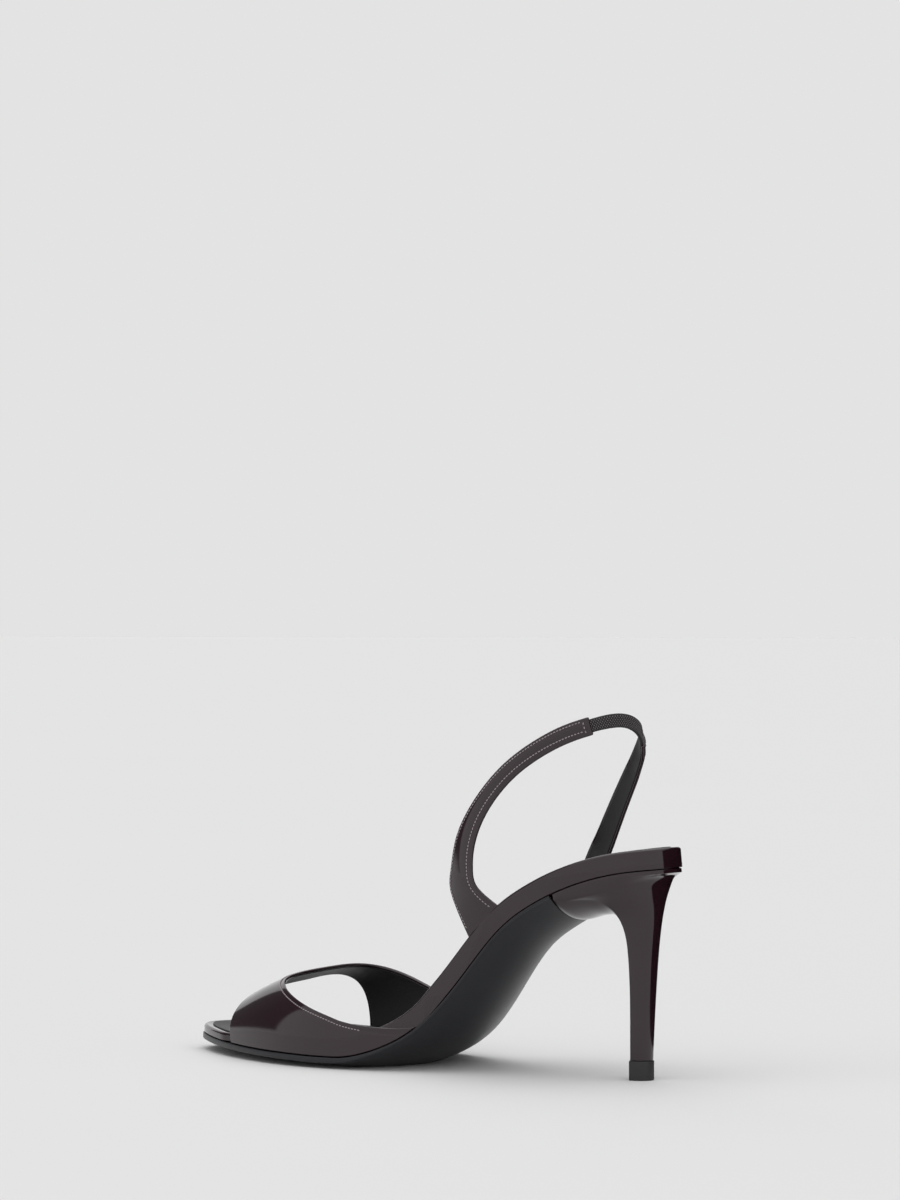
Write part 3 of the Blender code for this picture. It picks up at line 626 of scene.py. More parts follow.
def face_and_normal(surface, place, across, core, step):
    """Points of a surface and the unit normals that point away from core, by small differences."""
    points = surface(place, across)
    run = surface(place + step, across) - surface(place - step, across)
    side = surface(place, across + ACROSS_STEP) - surface(place, across - ACROSS_STEP)
    normal = unit(np.cross(run, side))
    away = np.sum(normal * (points - core))
    return points, normal * np.sign(away)


def rim_lines(width, slant, inset, half, steps):
    """Distances across a strip: lines packed towards both edges, and even steps in between."""
    spread = np.linspace(0.0, 1.0, RIM_STEPS) ** RIM_SPREAD
    rim = inset + half * EDGE_BULGE + (RIM_WIDTH - inset) * spread
    near, far = [np.minimum(rim[None, :] * k, width[:, None] * RIM_MOST) for k in slant]
    far = width[:, None] - far[:, ::-1]
    even = np.linspace(0.0, 1.0, steps)[None, 1:-1]
    return np.concatenate([near, near[:, -1:] * (1 - even) + far[:, :1] * even, far], axis=1)


def rim_rise(distance, sewn):
    """A rolled bead less a stitch groove, each a bell exp(-((d - place) / spread)^2)."""
    bead = BEAD[2] * np.exp(-((distance - BEAD[0]) / BEAD[1]) ** 2)
    return bead - GROOVE_DEPTH * np.exp(-((distance - sewn) / GROOVE_SPREAD) ** 2)


def round_edge(start, middle, points, edge, beside, reach):
    """Half an ellipse round a strip's edge: middle + arm * cos(t) + away * reach * sin(t)."""
    turn = np.linspace(0.0, math.pi, EDGE_ARC + 1)[None, 1:-1, None]
    away = unit(points[:, edge] - points[:, beside])[:, None]
    centre = middle[:, edge][:, None]
    arm = start[:, edge][:, None] - centre
    return centre + arm * np.cos(turn) + away * reach * np.sin(turn)


def strip(surface, span, core, depth, inset=0.0, groove=(None, None), swell=0.0, ribs=None,
          ends=None):
    """Closed strip between two depths under a surface, with round edges, rims and round ends.

    Across, places lie at set distances from each edge and evenly in between. The outer face is the
    surface moved along its normal by swell * (1 - (2a - 1)^2), plus a bead and a groove near each
    edge that is sewn, plus cosine ribs. Each cross-section is closed by half ellipses, and both
    ends shrink to the middle of the wall by sqrt(1 - (1 - e/r)^2), e being the distance from the
    end and r half the wall. The marks give each point's distances along and across the strip.
    """
    top, bottom = depth
    half = (bottom - top) / 2
    step = (span[1] - span[0]) * PLACE_STEP
    places, from_start, to_end = run_places(surface, span, half)
    width = strip_width(surface, places)
    inward = np.clip(places, span[0] + step, span[1] - step)
    slant = [edge_slant(surface, inward, edge, step) for edge in (0.0, 1.0)]
    distance = rim_lines(width, slant, inset, half, RIBBED_STEPS if ribs else FACE_STEPS)
    across = distance / width[:, None]
    points, normal = face_and_normal(surface, places[:, None] + 0 * across, across, core, step)
    padding = swell * bulge(across)
    rise = padding
    if groove[0] is not None:
        rise = rise + rim_rise(distance / slant[0], groove[0])
    if groove[1] is not None:
        rise = rise + rim_rise((width[:, None] - distance) / slant[1], groove[1])
    if ribs:
        rise = rise + ribs[1] * np.cos(2 * math.pi * ribs[0] * across)
    if ends:
        rise = rise + ends(from_start, to_end)[:, None]
    outer = points + normal * (rise - top)[..., None]
    inner = points + normal * (padding - bottom)[..., None]
    end = np.clip(np.minimum(from_start, to_end) / half, 0.0, 1.0)
    taper = np.sqrt(1 - (1 - end) ** 2)[:, None, None]
    middle = (outer + inner) / 2
    outer = middle + (outer - middle) * taper
    inner = middle + (inner - middle) * taper
    reach = half * EDGE_BULGE * taper
    ring = np.concatenate([outer, round_edge(outer, middle, points, -1, -2, reach),
                           inner[:, ::-1], round_edge(inner, middle, points, 0, 1, reach)], axis=1)
    rows, count = ring.shape[:2]
    marks = np.zeros((rows, count, 3))
    marks[..., 0] = from_start[:, None]
    marks[:, :across.shape[1], 1] = distance
    faces = ring_faces(np.arange(rows * count).reshape(rows, count))
    return ring.reshape(-1, 3), faces, marks.reshape(-1, 3)


def seam(surface, span, core, distance, from_rear, trim, sizes, swell=0.0):
    """Stitches in a line at a distance in from one edge of a strip, on top of its swell."""
    step = (span[1] - span[0]) * PLACE_STEP
    places, from_start, to_end = run_places(surface, span, SEAM_ROUND)
    places = places[np.minimum(from_start, to_end) >= trim]
    slant = edge_slant(surface, places, float(from_rear), step)[:, 0]
    across = distance * slant / strip_width(surface, places)
    if from_rear:
        across = 1 - across
    points, normal = face_and_normal(surface, places, across, core, step)
    return stitches(points + normal * (swell * bulge(across))[:, None], normal, sizes)


def end_seam(surface, span, core, distance, at_end, sizes, swell):
    """A row of stitches across a strip, at a distance from its start or its end."""
    step = (span[1] - span[0]) * PLACE_STEP
    places, from_start, to_end = run_places(surface, span, SEAM_ROUND)
    if at_end:
        place = np.interp(distance, to_end[::-1], places[::-1])
    else:
        place = np.interp(distance, from_start, places)
    across = np.linspace(*END_SEAM_REACH, END_SEAM_SAMPLES)
    points, normal = face_and_normal(surface, place + 0 * across, across, core, step)
    return stitches(points + normal * (swell * bulge(across))[:, None], normal, sizes)


def stitches(line, normal, sizes):
    """Points and faces of thread stitches laid along a line: short ellipsoid-ended rods.

    Rod i has its middle at arc length (i + 1/2) * pitch; ring t in [-1, 1] has radius
    r * (1 - t^6)^(1/2) and sinks by r * t^4, as a stitch dives into its hole.
    """
    length = arc_length(line)
    count = max(int(length[-1] / sizes.stitch_pitch), 1)
    middle = (np.arange(count) + 0.5) * length[-1] / count
    centre = np.stack([np.interp(middle, length, line[:, i]) for i in range(3)], axis=-1)
    up = unit(np.stack([np.interp(middle, length, normal[:, i]) for i in range(3)], axis=-1))
    tangent = np.gradient(line, axis=0) / np.maximum(np.gradient(length), 1e-9)[:, None]
    run = unit(np.stack([np.interp(middle, length, tangent[:, i]) for i in range(3)], axis=-1))
    side = np.cross(run, up)
    t = np.linspace(-1.0, 1.0, THREAD_RINGS)
    turn = np.linspace(0.0, 2 * math.pi, THREAD_SIDES + 1)[:-1]
    radius = sizes.thread / 2
    size = radius * np.sqrt(np.clip(1 - t ** 6, 0.0, None))
    shape = (centre[:, None, None]
             + run[:, None, None] * (t * sizes.stitch_length / 2)[None, :, None, None]
             + up[:, None, None] * ((size[:, None] * np.cos(turn) - radius * t[:, None] ** 4)
                                    + radius * THREAD_LIFT)[None, ..., None]
             + side[:, None, None] * (size[:, None] * np.sin(turn))[None, ..., None])
    index = np.arange(shape[..., 0].size).reshape(count, len(t), len(turn))
    faces = np.concatenate([ring_faces(rod) for rod in index])
    return shape.reshape(-1, 3), faces


def heel_plan(inset):
    """Angle round the back of each heel row, and the seat's lateral and medial outline there."""
    turn = np.linspace(0.0, math.pi / 2, HEEL_ROWS + 1)
    share = (HEEL_BREAST + (FOOT_LENGTH - HEEL_BREAST) * np.sin(turn)) / FOOT_LENGTH
    return turn, outline(1, share, inset), outline(-1, share, inset)


def heel_loop(lateral, medial, bow, drop):
    """Loop round the heel: breast line with its bow and drop, medial side, lateral side."""
    mix = np.linspace(0.0, 1.0, HEEL_COLUMNS + 1)
    breast = lateral[:1] * (1 - mix[:, None]) + medial[:1] * mix[:, None]
    breast[:, 1] -= bow * bulge(mix)
    breast[:, 2] -= drop * bulge(mix)
    return np.concatenate([breast[:-1], medial[:-1], lateral[:0:-1]])


def heel_section(corner, corner_z, back, back_z, flare, bow, drop, turned):
    """One loop of the stem: sides blend from the seat's outline to a half ellipse cos(t)^n."""
    tip_corner = HEEL_TIP_BACK - HEEL_TIP_LENGTH
    front_y = tip_corner + corner * (HEEL_BREAST - tip_corner)
    rear_y = HEEL_TIP_BACK + back * (FOOT_LENGTH - HEEL_INSET - HEEL_TIP_BACK)
    half = HEEL_TIP_WIDTH / 2 + flare * (SEAT_WIDTH - HEEL_TIP_WIDTH) / 2
    turn, lateral, medial = heel_plan(HEEL_INSET)
    y = front_y + (rear_y - front_y) * np.sin(turn)
    stem = SEAT_HEIGHT - LIFT_HEIGHT - GAP
    z = LIFT_HEIGHT + GAP + (corner_z + (back_z - corner_z) * np.sin(turn)) * stem
    round_half = half * np.cos(turn) ** STEM_ROUND
    edges = []
    for side, seat in ((1, lateral[0]), (-1, medial[0])):
        seat_half = np.abs(seat) * half / (SEAT_WIDTH / 2)
        x = side * (seat_half * (1 - turned) + round_half * turned)
        edges.append(np.stack([x, y, z], axis=-1))
    return heel_loop(edges[0], edges[1], bow, drop)


def heel_seat_loop(inset, height, full):
    """Loop of the heel's seat, raised from the footbed's underside by height.

    Its middle sinks by the footbed's share of the belly where full is 0, by all of it where 1.
    """
    _, lateral, medial = heel_plan(HEEL_INSET + inset)
    edges = [lift(x, y, height + 0 * x) for x, y in (lateral, medial)]
    loop = heel_loop(edges[0], edges[1], 0.0, 0.0)
    mix = np.linspace(0.0, 1.0, HEEL_COLUMNS + 1)
    x = lateral[0][0] * (1 - mix) + medial[0][0] * mix
    y = lateral[1][0] * (1 - mix) + medial[1][0] * mix - LIP_BOW * bulge(mix)
    sink = belly(y / FOOT_LENGTH) * (FOOTBED_BELLY + (1 - FOOTBED_BELLY) * full) * bulge(mix)
    loop[:HEEL_COLUMNS] = lift(x, y, height - sink)[:-1]
    return loop


def heel_body(knots):
    """Loops of the heel's body: natural splines down through each point of the knot loops."""
    steps = np.linalg.norm(np.diff(knots, axis=0), axis=-1).mean(axis=1)
    places = np.concatenate([[0.0], np.cumsum(steps)])
    at = np.linspace(0.0, places[-1], HEEL_LEVELS)
    lines = knots.reshape(len(knots), -1)
    body = np.stack([spline(places, lines[:, i], at) for i in range(lines.shape[1])], axis=-1)
    return body.reshape(HEEL_LEVELS, -1, 3)


def soften(loops):
    """Loops smoothed round their length: a point becomes 1/2 itself and 1/4 of each neighbour."""
    for _ in range(HEEL_SOFTENING):
        loops = 0.5 * loops + 0.25 * np.roll(loops, 1, axis=-2) + 0.25 * np.roll(loops, -1, axis=-2)
    return loops


def loft(loops):
    """Points and faces of a closed solid through loops, with a fan of faces at each end."""
    count = loops.shape[1]
    caps = [loops[:1] * (1 - t) + loops[:1].mean(axis=1, keepdims=True) * t for t in (1.0, 0.5)]
    ends = [loops[-1:] * (1 - t) + loops[-1:].mean(axis=1, keepdims=True) * t for t in (0.5, 1.0)]
    loops = np.concatenate(caps + [loops] + ends)
    index = np.arange(loops.shape[0] * count).reshape(-1, count)
    return loops.reshape(-1, 3), ring_faces(index)


def lift_loops():
    """Loops of the rubber top piece: the stem's tip grown a little, with bevelled rims."""
    tip = heel_section(*HEEL_SECTIONS[-1])
    middle = tip.mean(axis=0)
    levels = np.concatenate([quarter(LIFT_FOOT_ROUND, 5, True) * [1, LIFT_FOOT_TAPER],
                             quarter(LIFT_TOP_ROUND, 4, False) + [LIFT_HEIGHT, 0]])
    loops = []
    for height, inset in levels:
        loop = middle + (tip - middle) * (1 + 2 * (LIFT_PROUD - inset) / HEEL_TIP_WIDTH)
        loop[:, 2] = height
        loops.append(loop)
    return soften(np.array(loops))


def set_offset():
    """Where the CAD frame puts the origin: the top piece's box in the frame less its own box."""
    low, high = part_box("top_lift")
    loops = lift_loops().reshape(-1, 3)
    here = (loops.min(axis=0) + loops.max(axis=0)) / 2
    OFFSET[:2] = ((np.array(low) + np.array(high)) / 2 - here)[:2]


def linear(code):
    """Linear RGBA of an sRGB colour written as six hex digits."""
    parts = np.array([int(code[i:i + 2], 16) / 255 for i in (0, 2, 4)])
    curve = np.where(parts <= 0.04045, parts / 12.92, ((parts + 0.055) / 1.055) ** 2.4)
    return (*curve.tolist(), 1.0)


def shades(colour, share):
    """A colour made darker and lighter by a share of itself."""
    return [[part * scale for part in colour[:3]] + [1.0] for scale in (1 - share, 1 + share)]


def node(tree, kind, values=None, inputs=None):
    """Add a node, set its properties, and fill its inputs with values or links from other nodes."""
    made = tree.nodes.new(kind)
    for key, value in (values or {}).items():
        setattr(made, key, value)
    for key, value in (inputs or {}).items():
        if isinstance(value, bpy.types.NodeSocket):
            tree.links.new(value, made.inputs[key])
        else:
            made.inputs[key].default_value = value
    return made


def new_finish(name, values):
    """A material with constants on its shader's sockets; gives it, its tree, shader and place."""
    made = bpy.data.materials.new(name)
    made.use_nodes = True
    tree = made.node_tree
    shader = tree.nodes["Principled BSDF"]
    for key, value in values.items():
        shader.inputs[key].default_value = value
    return made, tree, shader, node(tree, "ShaderNodeTexCoord").outputs["Object"]


def patent_leather(name, colour):
    """Calf leather under a poured clear coat: deep colour, hard mirror streaks, faint waviness."""
    made, tree, shader, place = new_finish(name, {
        "Roughness": 0.10, "IOR": 1.5,
        "Coat Weight": 0.25, "Coat Roughness": 0.02, "Coat IOR": 1.5})
    wave = node(tree, "ShaderNodeTexNoise", inputs={
        "Vector": place, "Scale": 1 / PATENT_WAVE, "Detail": 1.0}).outputs["Fac"]
    wave = node(tree, "ShaderNodeBump", inputs={
        "Height": wave, "Distance": 0.00010, "Strength": 0.5}).outputs["Normal"]
    skin = node(tree, "ShaderNodeTexNoise", inputs={
        "Vector": place, "Scale": 1 / PATENT_SKIN, "Detail": 2.0}).outputs["Fac"]
    skin = node(tree, "ShaderNodeBump", inputs={
        "Height": skin, "Distance": 0.000010, "Strength": 0.35, "Normal": wave}).outputs["Normal"]
    tone = node(tree, "ShaderNodeTexNoise", inputs={
        "Vector": place, "Scale": 1 / PATENT_TONE, "Detail": 2.0}).outputs["Fac"]
    dark, light = shades(colour, 0.2)
    shade = node(tree, "ShaderNodeMix", {"data_type": "RGBA"},
                 {"Factor": tone, "A": dark, "B": light})
    tree.links.new(shade.outputs["Result"], shader.inputs["Base Color"])
    tree.links.new(skin, shader.inputs["Normal"])
    tree.links.new(wave, shader.inputs["Coat Normal"])
    return made


def plain_leather(name, colour, roughness, pore, depth, coat=0.0):
    """Smooth leather: pores as a cell pattern, fine creases, a little tone change, soft sheen."""
    made, tree, shader, place = new_finish(name, {
        "Coat Weight": coat, "Coat Roughness": 0.3, "Specular IOR Level": 0.35})
    cells = node(tree, "ShaderNodeTexVoronoi", inputs={
        "Vector": place, "Scale": 1 / pore}).outputs["Distance"]
    fine = node(tree, "ShaderNodeBump", inputs={
        "Height": cells, "Distance": depth, "Strength": 0.6}).outputs["Normal"]
    crease = node(tree, "ShaderNodeTexNoise", inputs={
        "Vector": place, "Scale": 1 / (pore * CREASE), "Detail": 3.0}).outputs["Fac"]
    soft = node(tree, "ShaderNodeBump", inputs={
        "Height": crease, "Distance": depth * 3, "Strength": 0.5, "Normal": fine}).outputs["Normal"]
    tone = node(tree, "ShaderNodeTexNoise", inputs={
        "Vector": place, "Scale": 1 / (pore * LEATHER_TONE), "Detail": 4.0}).outputs["Fac"]
    dark, light = shades(colour, 0.25)
    shade = node(tree, "ShaderNodeMix", {"data_type": "RGBA"},
                 {"Factor": tone, "A": dark, "B": light})
    gloss = node(tree, "ShaderNodeMapRange", inputs={
        "Value": tone, "To Min": roughness - 0.05, "To Max": roughness + 0.05})
    tree.links.new(shade.outputs["Result"], shader.inputs["Base Color"])
    tree.links.new(gloss.outputs["Result"], shader.inputs["Roughness"])
    tree.links.new(soft, shader.inputs["Normal"])
    return made


def woven_elastic(name, colour, dots):
    """Knitted elastic: rows of light loops on dark ribs, dull and a little fuzzy.

    The loops' brightness, a painted sheen of glossy thread, is sin(2 pi u / loop pitch) *
    sin(2 pi v / row pitch), u and v being the distances along and across the strip.
    """
    made, tree, shader, place = new_finish(name, {
        "Roughness": 0.8, "Sheen Weight": 0.1, "Sheen Roughness": 0.5})
    weave = node(tree, "ShaderNodeAttribute", {"attribute_name": "weave"}).outputs["Vector"]
    parts = node(tree, "ShaderNodeSeparateXYZ", inputs={"Vector": weave})
    waves = []
    for socket, pitch in (("X", LOOP_PITCH), ("Y", ROW_PITCH)):
        turn = node(tree, "ShaderNodeMath", {"operation": "MULTIPLY"},
                    {0: parts.outputs[socket], 1: 2 * math.pi / pitch}).outputs[0]
        waves.append(node(tree, "ShaderNodeMath", {"operation": "SINE"}, {0: turn}).outputs[0])
    both = node(tree, "ShaderNodeMath", {"operation": "MULTIPLY"},
                {0: waves[0], 1: waves[1]}).outputs[0]
    mask = node(tree, "ShaderNodeMapRange", {"interpolation_type": "SMOOTHSTEP"},
                {"Value": both, "From Min": 0.25, "From Max": 0.75})
    # The loops take the light colour dots: a painted sheen of glossy thread on the real weave
    shade = node(tree, "ShaderNodeMix", {"data_type": "RGBA"},
                 {"Factor": mask.outputs["Result"], "A": colour, "B": dots})
    fuzz = node(tree, "ShaderNodeTexNoise", inputs={
        "Vector": place, "Scale": 1 / FUZZ, "Detail": 3.0}).outputs["Fac"]
    fuzz = node(tree, "ShaderNodeBump", inputs={
        "Height": fuzz, "Distance": 0.00008, "Strength": 0.6}).outputs["Normal"]
    loops = node(tree, "ShaderNodeBump", inputs={
        "Height": both, "Distance": 0.00012, "Strength": 0.8, "Normal": fuzz}).outputs["Normal"]
    tree.links.new(shade.outputs["Result"], shader.inputs["Base Color"])
    tree.links.new(loops, shader.inputs["Normal"])
    return made


def fine_skinned(name, colour, roughness, size, detail, depth):
    """A dull material of one colour with a fine skin of noise, as rubber or thread has."""
    made, tree, shader, place = new_finish(name, {"Base Color": colour, "Roughness": roughness})
    skin = node(tree, "ShaderNodeTexNoise", inputs={
        "Vector": place, "Scale": 1 / size, "Detail": detail}).outputs["Fac"]
    skin = node(tree, "ShaderNodeBump", inputs={
        "Height": skin, "Distance": depth, "Strength": 0.6}).outputs["Normal"]
    tree.links.new(skin, shader.inputs["Normal"])
    return made


def finish(name, colours):
    """The named material, made the first time it is asked for."""
    if name in bpy.data.materials:
        return bpy.data.materials[name]
    if name == "oxblood_patent_leather":
        return patent_leather(name, colours.patent)
    if name == "dark_lining_leather":
        # Unglazed lining leather: matt, with fine pores
        return plain_leather(name, colours.lining, 0.50, LINING_PORE, 0.00004)
    if name == "burnished_sole_leather":
        # Dyed and burnished sole leather: a soft wax sheen over a wider grain
        return plain_leather(name, colours.outsole, 0.38, SOLE_PORE, 0.00003, 0.2)
    if name == "ribbed_elastic":
        return woven_elastic(name, colours.elastic, colours.elastic_loop_sheen)
    if name == "moulded_rubber":
        # Moulded rubber: near black, dull, with a fine pitted skin
        return fine_skinned(name, colours.rubber, 0.5, RUBBER_PIT, 4.0, 0.00004)
    # Bonded sewing thread: slightly glossy, with its twist showing
    return fine_skinned(name, colours.thread, 0.4, THREAD_TWIST, 1.0, 0.00005)


class SandalSizes(bpy.types.PropertyGroup):
    """Sizes of the sewn details."""

    stitch_pitch: bpy.props.FloatProperty(
        name="Stitch pitch", description="From one stitch to the next", default=0.0013,
        min=0.0008, max=0.004, precision=5, subtype="DISTANCE", unit="LENGTH")
    stitch_length: bpy.props.FloatProperty(
        name="Stitch length", description="Thread that shows in one stitch", default=0.00095,
        min=0.0005, max=0.003, precision=5, subtype="DISTANCE", unit="LENGTH")
    thread: bpy.props.FloatProperty(
        name="Thread", description="Thickness of the sewing thread", default=0.00040,
        min=0.0001, max=0.001, precision=5, subtype="DISTANCE", unit="LENGTH")
    vamp_seam: bpy.props.FloatProperty(
        name="Vamp seam", description="Stitch line in from the vamp's edge", default=0.0021,
        min=0.001, max=0.004, precision=5, subtype="DISTANCE", unit="LENGTH")
    inner_seam: bpy.props.FloatProperty(
        name="Inner strap seam", description="Stitch line in from the strap's inner edge",
        default=0.0021, min=0.001, max=0.004, precision=5, subtype="DISTANCE", unit="LENGTH")
    outer_seam: bpy.props.FloatProperty(
        name="Outer strap seam", description="Stitch line in from the strap's outer edge",
        default=0.0011, min=0.0008, max=0.004, precision=5, subtype="DISTANCE", unit="LENGTH")
    strap_swell: bpy.props.FloatProperty(
        name="Strap swell", description="Padding that lifts the middle of the straps",
        default=0.0007, min=0.0, max=0.001, precision=5, subtype="DISTANCE", unit="LENGTH")
    end_seam: bpy.props.FloatProperty(
        name="End seam", description="Stitch row across the strap in from its end", default=0.0022,
        min=0.001, max=0.006, precision=5, subtype="DISTANCE", unit="LENGTH")
    fold_length: bpy.props.FloatProperty(
        name="Fold length", description="Length of the strap's folded end", default=0.0060,
        min=0.002, max=0.012, precision=5, subtype="DISTANCE", unit="LENGTH")


class SandalColours(bpy.types.PropertyGroup):
    """Colours of the leathers, thread, elastic and rubber."""

    patent: bpy.props.FloatVectorProperty(
        name="Patent leather", description="Colour under the clear coat", default=linear("231218"),
        size=4, min=0.0, max=1.0, subtype="COLOR")
    lining: bpy.props.FloatVectorProperty(
        name="Lining", description="Lining and sock leather", default=linear("2C2B2D"),
        size=4, min=0.0, max=1.0, subtype="COLOR")
    outsole: bpy.props.FloatVectorProperty(
        name="Outsole", description="Dyed sole leather", default=linear("16171C"),
        size=4, min=0.0, max=1.0, subtype="COLOR")
    elastic: bpy.props.FloatVectorProperty(
        name="Elastic", description="Ground of the elastic", default=linear("151314"),
        size=4, min=0.0, max=1.0, subtype="COLOR")
    # Painted sheen: the loops' light colour stands in for the glossy thread's highlight
    elastic_loop_sheen: bpy.props.FloatVectorProperty(
        name="Elastic loops", description="Light loops of the elastic", default=linear("776F72"),
        size=4, min=0.0, max=1.0, subtype="COLOR")
    rubber: bpy.props.FloatVectorProperty(
        name="Rubber", description="Top piece", default=linear("222122"),
        size=4, min=0.0, max=1.0, subtype="COLOR")
    thread: bpy.props.FloatVectorProperty(
        name="Thread", description="Sewing thread", default=linear("9C9194"),
        size=4, min=0.0, max=1.0, subtype="COLOR")


def scene_settings(context):
    """The sizes and colours kept on the scene."""
    return context.scene.sandal_sizes, context.scene.sandal_colours


class SANDAL_OT_outsole(bpy.types.Operator):
    """Leather outsole: proud round the forepart, flat at the tread, bellied and thin at the shank"""

    bl_idname = "sandal.outsole"
    bl_label = "Outsole"

    def execute(self, context):
        _, colours = scene_settings(context)
        corner = HEEL_BREAST / FOOT_LENGTH
        share = stations(corner)
        proud = OUTSOLE_PROUD * (1 - ramp(*FLUSH, share))
        end = (HEEL_BREAST - LIP_BOW * crown()[0] - 2 * GAP) / FOOT_LENGTH
        levels = []
        rounds = [(0.0, *pair) for pair in quarter(OUTSOLE_ROUND, 5, True)]
        rounds += [(1.0, *pair) for pair in quarter(OUTSOLE_TOP_ROUND, 4, False)]
        for up, rise, inset in rounds:
            grid = plan_grid(share, inset - proud, inset - proud)
            grid[..., 1] = grid[..., 1] * end[None, :] / corner
            at = np.clip(grid[..., 1] / FOOT_LENGTH, 0.0, 1.0)
            edge = TREAD_EDGE + (SHANK_EDGE - TREAD_EDGE) * ramp(*SKIVE, at)
            drop = belly(at) * (FOOTBED_BELLY if up else 1.0)
            height = -GAP - edge * (1 - up) + rise - drop * crown()
            points = lift(grid[..., 0], grid[..., 1], height)
            # The tread lies flat on the floor, so its rounding is squeezed by half there
            points[..., 2] = np.maximum(points[..., 2], max(rise, 0.0) / 2)
            levels.append(points)
        points, faces = stack(levels)
        build("outsole_leather", points, faces, finish("burnished_sole_leather", colours),
              ["outsole"])
        return {"FINISHED"}


class SANDAL_OT_footbed(bpy.types.Operator):
    """Insole board wrapped in patent leather, and the thin leather sock laid on it"""

    bl_idname = "sandal.footbed"
    bl_label = "Footbed and sock"

    def execute(self, context):
        _, colours = scene_settings(context)
        share = stations()
        lateral, medial = footbed_inset(1, share), footbed_inset(-1, share)
        levels = []
        rounds = [(0.0, *pair) for pair in quarter(FOOTBED_LOW_ROUND, 5, True)]
        rounds += [(1.0, *pair) for pair in quarter(FOOTBED_ROUND, 8, False)]
        for number, (up, rise, inset) in enumerate(rounds):
            grid = plan_grid(share, lateral + inset, medial + inset)
            at = np.clip(grid[..., 1] / FOOT_LENGTH, 0.0, 1.0)
            sink = 0.0
            if number == 0:
                sink = FOOTBED_BELLY * belly(at) * crown()
            elif number == len(rounds) - 1:
                sink = dish(at) * crown()
            levels.append(lift(grid[..., 0], grid[..., 1], rise + up * band(at) - sink))
        points, faces = stack(levels)
        build("footbed_wrap", points, faces, finish("oxblood_patent_leather", colours),
              ["footbed"])
        levels = []
        rounds = [(0.0, 0.0), *quarter(SOCK_ROUND, 4, False)]
        for number, (rise, inset) in enumerate(rounds):
            margin = SOCK_MARGIN + inset
            grid = plan_grid(share, lateral + margin, medial + margin)
            top = footbed_top(grid[..., 0], grid[..., 1]) + SOCK_GAP
            levels.append(lift(grid[..., 0], grid[..., 1], top + (number > 0) * SOCK_SHOWN + rise))
        points, faces = stack(levels)
        build("sock_leather", points, faces, finish("dark_lining_leather", colours),
              ["sock_lining"])
        return {"FINISHED"}


class SANDAL_OT_vamp(bpy.types.Operator):
    """Diagonal vamp strap: patent wall with rolled edges, lining inside it, and its stitches"""

    bl_idname = "sandal.vamp"
    bl_label = "Vamp"

    def execute(self, context):
        sizes, colours = scene_settings(context)
        span = (0.0, 180.0)
        points, faces, _ = strip(vamp_surface, span, VAMP_CORE, (0.0, VAMP_WALL - LINING),
                                 groove=(None, sizes.vamp_seam))
        build("vamp_patent", points, faces, finish("oxblood_patent_leather", colours),
              ["vamp"])
        points, faces, _ = strip(vamp_surface, VAMP_LINING_SPAN, VAMP_CORE,
                                 (VAMP_WALL - LINING_LAP, VAMP_WALL), inset=LINING_SETBACK)
        build("vamp_lining", points, faces, finish("dark_lining_leather", colours))
        points, faces = seam(vamp_surface, span, VAMP_CORE, sizes.vamp_seam, True, VAMP_SEAM_TRIM,
                             sizes)
        build("vamp_stitches", points, faces, finish("waxed_thread", colours))
        return {"FINISHED"}


class SANDAL_OT_sling(bpy.types.Operator):
    """Two sling straps with padded middles, folded ends, linings and stitches"""

    bl_idname = "sandal.sling"
    bl_label = "Sling straps"

    def execute(self, context):
        sizes, colours = scene_settings(context)
        straps = (("lateral", 1, LATERAL_FOOT, 0, LATERAL_END),
                  ("medial", -1, MEDIAL_FOOT, MEDIAL_END, len(SLING_PATH) - 1))
        for name, side, foot, first, last in straps:
            surface, end = strap_surface(side, foot, first, last)
            span = (0.0, float(end))

            def fold(from_start, to_end):
                past = (to_end if side > 0 else from_start) - sizes.fold_length
                return FOLD_RISE * (1 - ramp(0.0, FOLD_FADE, past))

            points, faces, _ = strip(surface, span, SLING_CORE, (0.0, STRAP_WALL - LINING),
                                     groove=(sizes.inner_seam, sizes.outer_seam),
                                     swell=sizes.strap_swell, ends=fold)
            build(f"{name}_strap_patent", points, faces, finish("oxblood_patent_leather", colours),
                  [f"sling_strap_{name}"])
            points, faces, _ = strip(surface, span, SLING_CORE,
                                     (STRAP_WALL - LINING_LAP, STRAP_WALL), inset=LINING_SETBACK,
                                     swell=sizes.strap_swell)
            build(f"{name}_strap_lining", points, faces, finish("dark_lining_leather", colours))
            rows = [seam(surface, span, SLING_CORE, place, rear, STRAP_SEAM_TRIM, sizes,
                         sizes.strap_swell)
                    for place, rear in ((sizes.inner_seam, False), (sizes.outer_seam, True))]
            rows.append(end_seam(surface, span, SLING_CORE, sizes.end_seam, side > 0, sizes,
                                 sizes.strap_swell + FOLD_RISE))
            starts = np.cumsum([0] + [len(row[0]) for row in rows])
            points = np.concatenate([row[0] for row in rows])
            faces = np.concatenate([row[1] + start for row, start in zip(rows, starts)])
            build(f"{name}_strap_stitches", points, faces, finish("waxed_thread", colours))
        return {"FINISHED"}


class SANDAL_OT_elastic(bpy.types.Operator):
    """Ribbed elastic round the back of the heel, tucked into both strap ends"""

    bl_idname = "sandal.elastic"
    bl_label = "Elastic"

    def execute(self, context):
        _, colours = scene_settings(context)
        span = (LATERAL_END - ELASTIC_TUCK, MEDIAL_END + ELASTIC_TUCK)
        sink = (STRAP_WALL - ELASTIC_WALL) / 2
        points, faces, marks = strip(elastic_surface, span, SLING_CORE, (sink, sink + ELASTIC_WALL),
                                     ribs=ELASTIC_RIBS)
        build("ribbed_elastic", points, faces, finish("ribbed_elastic", colours),
              ["elastic"], marks=marks)
        return {"FINISHED"}


